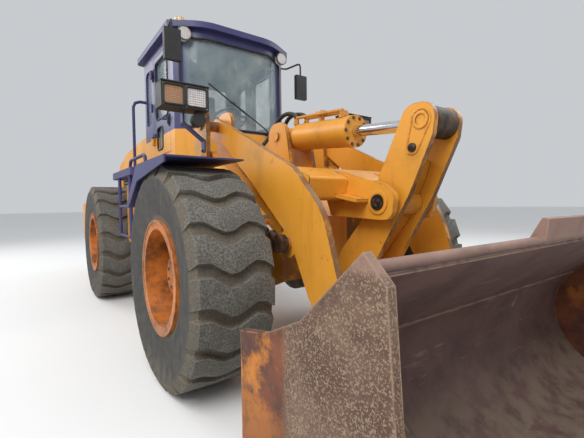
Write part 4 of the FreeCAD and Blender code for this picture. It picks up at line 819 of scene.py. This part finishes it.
class LOADER_OT_cylinders(bpy.types.Operator):
    """Gland bolts, pipes, brackets and hoses of the cylinders"""
    bl_idname = "loader.cylinders"
    bl_label = "Cylinders"

    def execute(self, context):
        slides = {joint["name"]: Vector(joint["axis"]).normalized() for joint in frame["joints"]
                  if joint["name"] in ("tilt_rod_slide", "lift_rod_slide")}
        slide, fall = slides["tilt_rod_slide"], slides["lift_rod_slide"]
        base = PIVOT["tilt_barrel_swing"]
        across = Vector((0, 1, 0))
        up = slide.cross(across).normalized()
        up = up if up.z > 0 else -up
        beyond = 1.4  # past the end of either barrel
        spots = []
        for turn in circle(10, 0.5):
            arm = up * math.cos(turn) + across * math.sin(turn)
            spots.append((strike(["tilt_barrel"], base + slide * beyond + arm * 0.089, -slide), slide))
        piece(copies(bolt(0.0095, 1.0), spots), "tilt_gland_bolts", "tilt_barrel", "bolt steel")

        foot, top, apart, bend = 0.085, 0.146, 0.032, 0.05  # of the pipes, the first two from the middle line
        made = []
        for side, _ in SIDES:
            near, far = 0.13 + 0.05 * (side > 0), 0.655 - 0.03 * (side > 0)
            off = across * apart * side
            run = ((near, foot), (near, top), (near, top), (near + bend, top),
                   (far - bend, top), (far, top), (far, top), (far, foot))
            made.append(line([base + slide * along + up * height + off for along, height in run], trim().pipe))
            for along in (near, far):
                nut = turned(((0, 0.024), (0.022, 0.024), (0.024, 0.020), (0.045, 0.020)), 6)
                made.append(lay(nut, base + slide * along + up * 0.094 + off, up))
        piece(join(made), "tilt_pipes", "tilt_barrel", "tank paint")

        middle = base + slide * 0.40
        straps = [lay(block((0.05, 0.10, 0.016), (0, 0, 0), 0.004), middle + up * 0.163, up),
                  lay(block((0.04, 0.026, 0.075), (0, 0, 0), 0.003), middle + up * 0.128, up)]
        piece(join(straps), "tilt_pipe_bracket", "tilt_barrel", "body paint")
        piece(copies(bolt(0.010), [(middle + up * 0.171, up)]), "tilt_bracket_bolt", "tilt_barrel",
              "bolt steel")

        for side, word in SIDES:
            off = across * apart * side
            foot = strike(["front_frame"], (base.x - 0.24, 0.10 * side, 1.30), (0, side, 0))
            first = base + slide * (0.13 + 0.05 * (side > 0)) + up * 0.125 + off
            hose = line([foot, foot + Vector((0, -0.06 * side, 0.06)), Vector((base.x - 0.23, 0.07 * side, base.z)),
                         base - slide * 0.10 + up * 0.20 + off, first + up * 0.06, first], trim().hose, sides=4)
            piece(hose, "tilt_hose_" + word, None, "hose rubber")
            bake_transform(hose)

        lower = PIVOT["lift_barrel_swing"]
        glands = []
        for side, _ in SIDES:
            centre = Vector((lower.x, 0.595 * side, lower.z))
            end = strike(["lift_barrels"], centre + fall * beyond + Vector((0, 0.040, 0)), -fall)
            reach = (end - centre).dot(fall)
            glands.append(lay(ring(0.053, 0.0465, 0.045, 12, 0.002), centre + fall * (reach - 0.05), fall))
        piece(join(glands), "lift_gland_nuts", "lift_barrels", "dark paint")
        return {"FINISHED"}


class LOADER_OT_arm(bpy.types.Operator):
    """Pin keepers, collars, bolts and grease nipples of the working arm"""
    bl_idname = "loader.arm"
    bl_label = "Working arm"

    def execute(self, context):
        for side, word in SIDES:
            out = Vector((0, side, 0))
            bars, heads = [], []
            for joint in ("lift", "lift_barrel_swing"):
                place = beside(PIVOT[joint].x, PIVOT[joint].z, side, "front_frame")
                bars.append(lay(block((0.11, 0.032, 0.012), (0, 0, 0), 0.003), place + out * 0.005, out))
                heads += [(place + Vector((shift, 0.010 * side, 0)), out) for shift in (-0.040, 0.040)]
            piece(join(bars), "pin_keepers_" + word, "front_frame", "body paint")
            piece(copies(bolt(0.010), heads), "keeper_bolts_" + word, "front_frame", "bolt steel")

            pin = PIVOT["rocker_lift"]
            ear = beside(pin.x + 0.055, pin.z, side, "boom")
            collar = lay(ring(0.068, 0.044, 0.010, 32), (pin.x, ear.y - 0.002 * side, pin.z), out)
            piece(collar, "rocker_pin_collar_" + word, "boom", "body paint")
            end = beside(pin.x, pin.z, side, "rocker_pin")
            caps = [(Vector((pin.x + 0.020 * math.cos(turn), end.y, pin.z + 0.020 * math.sin(turn))), out)
                    for turn in (0.5, 2.6, 4.7)]
            piece(copies(bolt(0.0065), caps), "rocker_pin_bolts_" + word, "rocker_pin", "bolt steel")

            foot = TILT_EYE + Vector((-0.050, 0, -0.135))
            face = beside(TILT_EYE.x, TILT_EYE.z - 0.075, side, "rocker").y
            outline = []
            for centre, first, radius in ((TILT_EYE, -0.1, 0.056), (foot, math.pi - 0.1, 0.036)):
                for step in range(7):
                    turn = first + math.pi * step / 6 - 0.25
                    outline.append(Vector((centre.x + radius * math.cos(turn), face,
                                           centre.z + radius * math.sin(turn))))
            plate = [line(outline, 0.006, 0, 3, True),
                     lay(ring(0.046, 0.030, 0.008, 28), (TILT_EYE.x, face - 0.001 * side, TILT_EYE.z), out)]
            piece(join(plate), "tilt_pin_keeper_" + word, "rocker", "plate paint")
            piece(copies(stud(0.024, 0.7), [(Vector((foot.x, face, foot.z)), out)]), "keeper_stud_" + word,
                  "rocker", "pin steel")

            pin = PIVOT["bucket_level"]
            nipple = copies(bolt(0.007, 1.2), [(beside(pin.x - 0.05, pin.z + 0.10, side, "boom"), out)])
            piece(nipple, "grease_nipple_" + word, "boom", "bolt steel")
        return {"FINISHED"}


class LOADER_OT_hoses(bpy.types.Operator):
    """Pressure hoses that cross the steering hinge, with ends that no fitting carries yet"""
    bl_idname = "loader.hoses"
    bl_label = "Hitch hoses"

    def execute(self, context):
        for index, (y, z) in enumerate(((-0.23, 1.13), (-0.17, 1.17), (0.17, 1.17), (0.23, 1.13))):
            back, fore = Vector((HITCH - 0.34, y, z)), Vector((HITCH + 0.36, y * 0.8, z + 0.02))
            straight = Vector((0.08, 0, 0))
            hose = line([back, back + straight, Vector((HITCH - 0.08, y * 0.75, z + 0.03)),
                         Vector((HITCH + 0.08, y * 0.70, z + 0.03)), fore - straight, fore], trim().hose, sides=4)
            piece(hose, "hitch_hose_%d" % (index + 1), None, "hose rubber")
            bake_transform(hose)
            for word, place, axis, body in (("rear", back, 1, "rear_frame"), ("front", fore, -1, "front_frame")):
                sleeve = turned(((0, 0.026), (0.020, 0.026), (0.022, 0.021), (0.055, 0.021), (0.058, 0.018)), 6)
                lay(sleeve, place - Vector((0.02 * axis, 0, 0)), (axis, 0, 0))
                piece(sleeve, "hose_end_%s_%d" % (word, index + 1), body, "bolt steel")
        return {"FINISHED"}


class LOADER_OT_cab(bpy.types.Operator):
    """Window gaskets, wiper, lamp bezels, handles, hinges and controls"""
    bl_idname = "loader.cab"
    bl_label = "Cab"

    def execute(self, context):
        width = trim().gasket / 2
        low, high, reach, cut = 1.893, 2.727, 0.566, 0.012  # of the windshield's gasket
        inner = reach - 0.02
        climb = (low + 0.05, 2.1, 2.3, 2.5, high - 0.05)
        span = (-0.50, -0.42, -0.36, -0.2, 0, 0.2, 0.36, 0.42, 0.50)
        rows = [(-reach, z) for z in climb] + [(-inner, high - cut)]
        rows += [(y, high) for y in span] + [(inner, high - cut)]
        rows += [(reach, z) for z in reversed(climb)] + [(inner, low + cut)]
        rows += [(y, low) for y in reversed(span)] + [(-inner, low + cut)]
        border = [Vector((SCREEN if abs(y) <= SCREEN_HALF else SCREEN - (abs(y) - SCREEN_HALF) * 0.577, y, z))
                  for y, z in rows]
        piece(line(border, width, 0, 3, True), "windshield_gasket", "rear_frame", "gasket rubber")

        for side, word in SIDES:
            door, hinge = "door_" + word, PIVOT["door_" + word + "_hinge"]
            seals = []
            for x0, x1, z0, z1 in ((-0.725, -0.305, 2.05, 2.66), (-0.695, -0.495, 1.73, 1.97)):
                face = beside(x0 - 0.012, (z0 + z1) / 2, side, door).y
                loop = rounded([(x0, face, z0), (x1, face, z0), (x1, face, z1), (x0, face, z1)], 0.05, 4)
                seals.append(line(loop, width * 0.9, 0, 3, True))
            piece(join(seals), "door_gaskets_" + word, door, "gasket rubber")
            face = beside(-0.275, 2.0, side, door).y
            knuckles = [lay(turned(((0, 0.012), (0.003, 0.016), (0.087, 0.016), (0.090, 0.012)), 16),
                            (hinge.x, hinge.y + 0.012 * side, z)) for z in (1.80, 2.16, 2.52)]
            piece(join(knuckles), "door_hinges_" + word, "rear_frame", "cab paint")
            handle = join([block((0.035, 0.012, 0.12), (-0.275, face + 0.004 * side, 1.985), 0.004),
                           block((0.020, 0.018, 0.085), (-0.275, face + 0.014 * side, 1.985), 0.007, 3)])
            piece(handle, "door_handle_" + word, door, "black plastic")
            rim = lay(ring(0.067, 0.055, 0.016, 40, 0.004), (-0.011, 0.545 * side, 2.744), (1, 0, 0))
            piece(rim, "roof_lamp_rim_" + word, "rear_frame", "bolt steel")

        blade = [Vector((0.052, -0.34, 2.30)), Vector((0.052, -0.10, 2.155)), Vector((0.052, 0.16, 2.01))]
        arm = [Vector((0.030, 0.34, 1.885)), Vector((0.062, 0.33, 1.905)), Vector((0.070, 0.14, 2.01)),
               Vector((0.062, -0.09, 2.150))]
        wiper = [line(blade, 0.008, 3, 2), line(arm, 0.007, 3, 2),
                 lay(turned(((0, 0.022), (0.030, 0.022), (0.036, 0.015)), 20), (0.020, 0.34, 1.885), (1, 0, 0)),
                 block((0.020, 0.050, 0.018), (0.056, -0.095, 2.152), 0.005)]
        piece(join(wiper), "wiper", "rear_frame", "black plastic")

        console = [block((0.30, 0.10, 0.07), (-0.78, -0.36, 1.96), 0.015, 3),
                   block((0.14, 0.07, 0.45), (-0.80, -0.36, 1.725), 0.008)]
        levers = []
        for x in (-0.72, -0.80):
            stick = turned(((0, 0.018), (0.012, 0.018), (0.020, 0.006), (0.12, 0.006), (0.125, 0.012),
                            (0.140, 0.018), (0.155, 0.018), (0.168, 0.010)), 16)
            levers.append(lay(stick, (x, -0.36, 1.99), (0.10, 0, 1)))
        piece(join(console + levers), "lever_console", "rear_frame", "black plastic")
        return {"FINISHED"}


def cushion(size, centre, swell):
    """A stuffed block: remeshed, blown up as cloth, and held to a small swell."""
    thing = block(size, centre, 0.035, 3)
    pick(thing)
    remesh = thing.modifiers.new("even faces", "REMESH")
    remesh.mode = "VOXEL"
    remesh.voxel_size = 0.013
    bpy.ops.object.modifier_apply(modifier=remesh.name)
    rest = [vertex.co.copy() for vertex in thing.data.vertices]
    moments = 16
    filling = thing.modifiers.new("filling", "CLOTH")
    filling.settings.use_pressure = True
    filling.settings.uniform_pressure_force = 4
    filling.settings.effector_weights.gravity = 0
    filling.point_cache.frame_start = 1
    filling.point_cache.frame_end = moments
    for moment in range(1, moments + 1):
        bpy.context.scene.frame_set(moment)
    bpy.ops.object.modifier_apply(modifier=filling.name)
    bpy.context.scene.frame_set(1)
    for vertex, before in zip(thing.data.vertices, rest):
        move = vertex.co - before
        if move.length > swell:
            vertex.co = before + move.normalized() * swell
    finer = thing.modifiers.new("finer faces", "SUBSURF")
    finer.levels = 1
    finer.render_levels = 1
    bpy.ops.object.modifier_apply(modifier=finer.name)
    return thing


class LOADER_OT_seat(bpy.types.Operator):
    """Stuffed seat cushion and backrest"""
    bl_idname = "loader.seat"
    bl_label = "Seat"

    def execute(self, context):
        base = cushion((0.47, 0.47, 0.10), (-0.790, 0, 1.910), 0.012)
        lean = cushion((0.11, 0.44, 0.54), (0, 0, 0), 0.012)
        pick(lean)
        bpy.ops.transform.rotate(value=math.radians(8), orient_axis="Y", center_override=(0, 0, 0))
        bpy.ops.transform.translate(value=(-1.045, 0, 2.255))
        seat = join([base, settle(lean)])
        piece(seat, "seat_cushions", "rear_frame", "seat vinyl", 60)
        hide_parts("seat_pads")
        return {"FINISHED"}


class LOADER_OT_lamps(bpy.types.Operator):
    """Rims, lids and dividers of the front lamps, and the lamps behind"""
    bl_idname = "loader.lamps"
    bl_label = "Lamps"

    def execute(self, context):
        front, low, high = 0.863, 1.826 + 0.006, 1.974 - 0.006  # of the front lamps' rims
        for side, word in SIDES:
            made = []
            for inner, outer in ((0.702, 0.853), (0.869, 1.014)):
                loop = rounded([(front, inner * side, low), (front, outer * side, low),
                                (front, outer * side, high), (front, inner * side, high)], 0.022, 4)
                made.append(line(loop, 0.0085, 0, 3, True))
            made.append(block((0.165, 0.345, 0.010), (0.792, 0.858 * side, 1.986), 0.004))
            made.append(block((0.012, 0.014, 0.15), (0.864, 0.861 * side, 1.90), 0.004))
            piece(join(made), "lamp_rims_" + word, "front_frame", "black plastic")
            heads = [(beside(PIVOT["lift"].x + 0.06, z, side, "front_frame", "lamp_arms"), Vector((0, side, 0)))
                     for z in (1.55, 1.49)]
            piece(copies(bolt(trim().bolt), heads), "lamp_arm_bolts_" + word, "front_frame",
                  "bolt steel")

            y = 0.48 * side
            back = strike(["hood"], (-4, y, 1.72), (1, 0, 0)).x
            # Name, size, how far behind the hood and how high, rounding, finish and slot
            for name, size, x, z, ease, finish, slot in (
                    ("rear_lamp_case_", (0.030, 0.11, 0.19), 0.010, 1.72, 0.008, "black plastic", "black_plastic"),
                    ("rear_brake_lamp_", (0.014, 0.085, 0.075), 0.024, 1.765, 0.006, "red glass", "amber_lens"),
                    ("rear_turn_lamp_", (0.014, 0.085, 0.065), 0.024, 1.680, 0.006, "amber glass", "amber_lens")):
                piece(block(size, (back - x, y, z), ease, 3), name + word, "rear_frame", finish)
        return {"FINISHED"}


class LOADER_OT_trim(bpy.types.Operator):
    """Folded fender edges, tank ribs, hood frames, latches, stack rings and bolts"""
    bl_idname = "loader.trim_pieces"
    bl_label = "Trim"

    def execute(self, context):
        for side, word in SIDES:
            edge = []
            for step in range(25):
                x = ahead(-0.625 + 0.945 * step / 24, 0, 0).x
                top = strike(["front_fenders"], (x, 1.172 * side, FAR), (0, 0, -1))
                edge.append(Vector((x, 1.174 * side, top.z - 0.006)))
            piece(line(edge, 0.008, 0, 3), "fender_edge_" + word, "front_frame", "trim paint")

            face = beside(-0.70, 1.05, side, "tanks").y
            ribs = [block((0.028, 0.012, 0.50), (x, face, 1.05), 0.005, 3)
                    for x in (-0.93, -0.84, -0.75, -0.66, -0.57, -0.48)]
            piece(join(ribs), "tank_ribs_" + word, "rear_frame", "tank paint")

            wall = beside(-2.0, 1.5, side, "hood").y
            rear, fore, low, high = -2.885, -2.165, 1.32, 1.67
            corners = [(rear, wall, low), (fore, wall, low), (fore, wall, high), (rear, wall, high)]
            frames = [line(rounded(corners, 0.03, 4), 0.007, 0, 3, True)]
            frames += [block((0.012, 0.010, 0.72), (x, wall, 1.44), 0.003) for x in (-2.06, -2.96)]
            piece(join(frames), "hood_frame_" + word, "rear_frame", "body paint")
            latches = [join([block((0.05, 0.012, 0.09), (x, wall + 0.003 * side, 1.20), 0.004),
                             block((0.022, 0.014, 0.05), (x, wall + 0.010 * side, 1.205), 0.005, 3)])
                       for x in (-2.30, -2.72)]
            piece(join(latches), "hood_latches_" + word, "rear_frame", "black plastic")
        back = strike(["hood"], (-4, 0.46, 1.45), (1, 0, 0)).x
        half, low, high = 0.42, 1.25, 1.63
        corners = [(back, -half, low), (back, half, low), (back, half, high), (back, -half, high)]
        piece(line(rounded(corners, 0.03, 4), 0.008, 0, 3, True), "back_grille_frame", "rear_frame",
              "body paint")

        stack = [lay(turned(((0, 0.058), (0.004, 0.064), (0.022, 0.064), (0.026, 0.058)), 28), (-1.825, -0.25, z))
                 for z in (2.06, 2.20)]
        piece(join(stack), "exhaust_clamps", "rear_frame", "bolt steel")
        heads = [(strike(["counterweight"], (-3.30, y, FAR), (0, 0, -1)), Vector((0, 0, 1)))
                 for y in (-0.95, -0.62, -0.30, 0.30, 0.62, 0.95)]
        piece(copies(bolt(0.020), heads), "counterweight_bolts", "rear_frame", "bolt steel")
        return {"FINISHED"}


class LOADER_OT_bucket(bpy.types.Operator):
    """Weld bead and edge bolts of the bucket"""
    bl_idname = "loader.bucket_details"
    bl_label = "Bucket details"

    def execute(self, context):
        bead = []
        for step in range(40):
            y = -1.19 + 2.38 * step / 39
            place = strike(["bucket"], (3.30, y, 0.66), (-1, 0, 0))
            bead.append(place + Vector((0.001, 0, 0.0015 * math.sin(step * 2.4))))
        piece(line(bead, 0.008, 3, 3), "inner_weld", "bucket", "bucket steel")
        heads = [(strike(["bucket_edge"], (3.40, y, 0.5), (0, 0, -1)), Vector((0, 0, 1)))
                 for y in (-1.08, -0.84, -0.60, -0.36, -0.12, 0.12, 0.36, 0.60, 0.84, 1.08)]
        piece(copies(stud(0.022, 0.5), heads), "edge_bolts", "bucket", "bolt steel")
        return {"FINISHED"}


class LOADER_OT_stage(bpy.types.Operator):
    """Floor, soft light and the camera at the photograph's place"""
    bl_idname = "loader.stage"
    bl_label = "Stage"

    def execute(self, context):
        stage = context.scene.loader_stage
        context.scene.view_settings.view_transform = "Standard"
        clear()
        bpy.ops.mesh.primitive_plane_add(size=160, location=(0, 0, -0.001))
        floor = settle(context.object)
        floor.name = "floor"
        s = Shader("pale floor")
        grey = stage.floor_grey
        tone = s.mix(s.noise(0.6, 3), (grey, grey, grey * 0.99), (grey * 0.97, grey * 0.97, grey * 0.96))
        floor.data.materials.append(s.finish(tone, 0.75))
        world = bpy.data.worlds.new("soft sky")
        context.scene.world = world
        world.use_nodes = True
        sky = world.node_tree.nodes["Background"]
        sky.inputs["Color"].default_value = (0.93, 0.96, 1.0, 1)
        sky.inputs["Strength"].default_value = stage.fill_strength
        for place, size, power in (((5.5, -6.0, 8.5), 6.0, 1.0), ((-7.0, -5.0, 6.0), 5.0, 0.35),
                                   ((2.0, 8.0, 7.0), 6.0, 0.35)):
            bpy.ops.object.light_add(type="AREA", location=place)
            lamp = context.object
            lamp.data.size = size
            lamp.data.energy = stage.key_power * power
            aim = Vector((0.3, 0, 1.2)) - Vector(place)
            lamp.rotation_euler = aim.to_track_quat("-Z", "Y").to_euler()
        bpy.ops.object.camera_add()
        camera = context.object
        yaw, pitch, roll = math.radians(144.44), math.radians(-2.35), math.radians(-0.68)
        forward = Vector((math.cos(yaw) * math.cos(pitch), math.sin(yaw) * math.cos(pitch), math.sin(pitch)))
        right = Vector((math.sin(yaw), -math.cos(yaw), 0))
        up = right.cross(forward)
        side = right * math.cos(roll) + up * math.sin(roll)
        top = up * math.cos(roll) - right * math.sin(roll)
        turn = Matrix((side, top, -forward)).transposed()
        camera.matrix_world = Matrix.Translation((3.394, -1.766, 1.136)) @ turn.to_4x4()
        camera.data.sensor_width = 36
        camera.data.lens = stage.lens
        camera.data.clip_start = 0.02
        context.scene.camera = camera
        return {"FINISHED"}


OPERATORS = (LOADER_OT_finishes, LOADER_OT_wheels, LOADER_OT_cylinders, LOADER_OT_arm, LOADER_OT_hoses,
             LOADER_OT_cab, LOADER_OT_seat, LOADER_OT_lamps, LOADER_OT_trim, LOADER_OT_bucket, LOADER_OT_stage)


class LOADER_PT_panel(bpy.types.Panel):
    """Buttons for every group of pieces"""
    bl_idname = "LOADER_PT_panel"
    bl_label = "Wheel loader"
    bl_space_type = "VIEW_3D"
    bl_region_type = "UI"
    bl_category = "Loader"

    def draw(self, context):
        for operator in OPERATORS:
            self.layout.operator(operator.bl_idname)


def register():
    for name, group in GROUPS.items():
        bpy.utils.register_class(group)
        setattr(bpy.types.Scene, name, PointerProperty(type=group))
    for part in OPERATORS + (LOADER_PT_panel,):
        bpy.utils.register_class(part)


def unregister():
    for part in reversed(OPERATORS + (LOADER_PT_panel,)):
        bpy.utils.unregister_class(part)
    for name, group in GROUPS.items():
        delattr(bpy.types.Scene, name)
        bpy.utils.unregister_class(group)


def main():
    register()
    bpy.ops.loader.finishes()
    bpy.ops.loader.wheels()
    bpy.ops.loader.cylinders()
    bpy.ops.loader.arm()
    bpy.ops.loader.hoses()
    bpy.ops.loader.cab()
    bpy.ops.loader.seat()
    bpy.ops.loader.lamps()
    bpy.ops.loader.trim_pieces()
    bpy.ops.loader.bucket_details()
    bpy.ops.loader.stage()


if __name__ == "__main__":
    main()
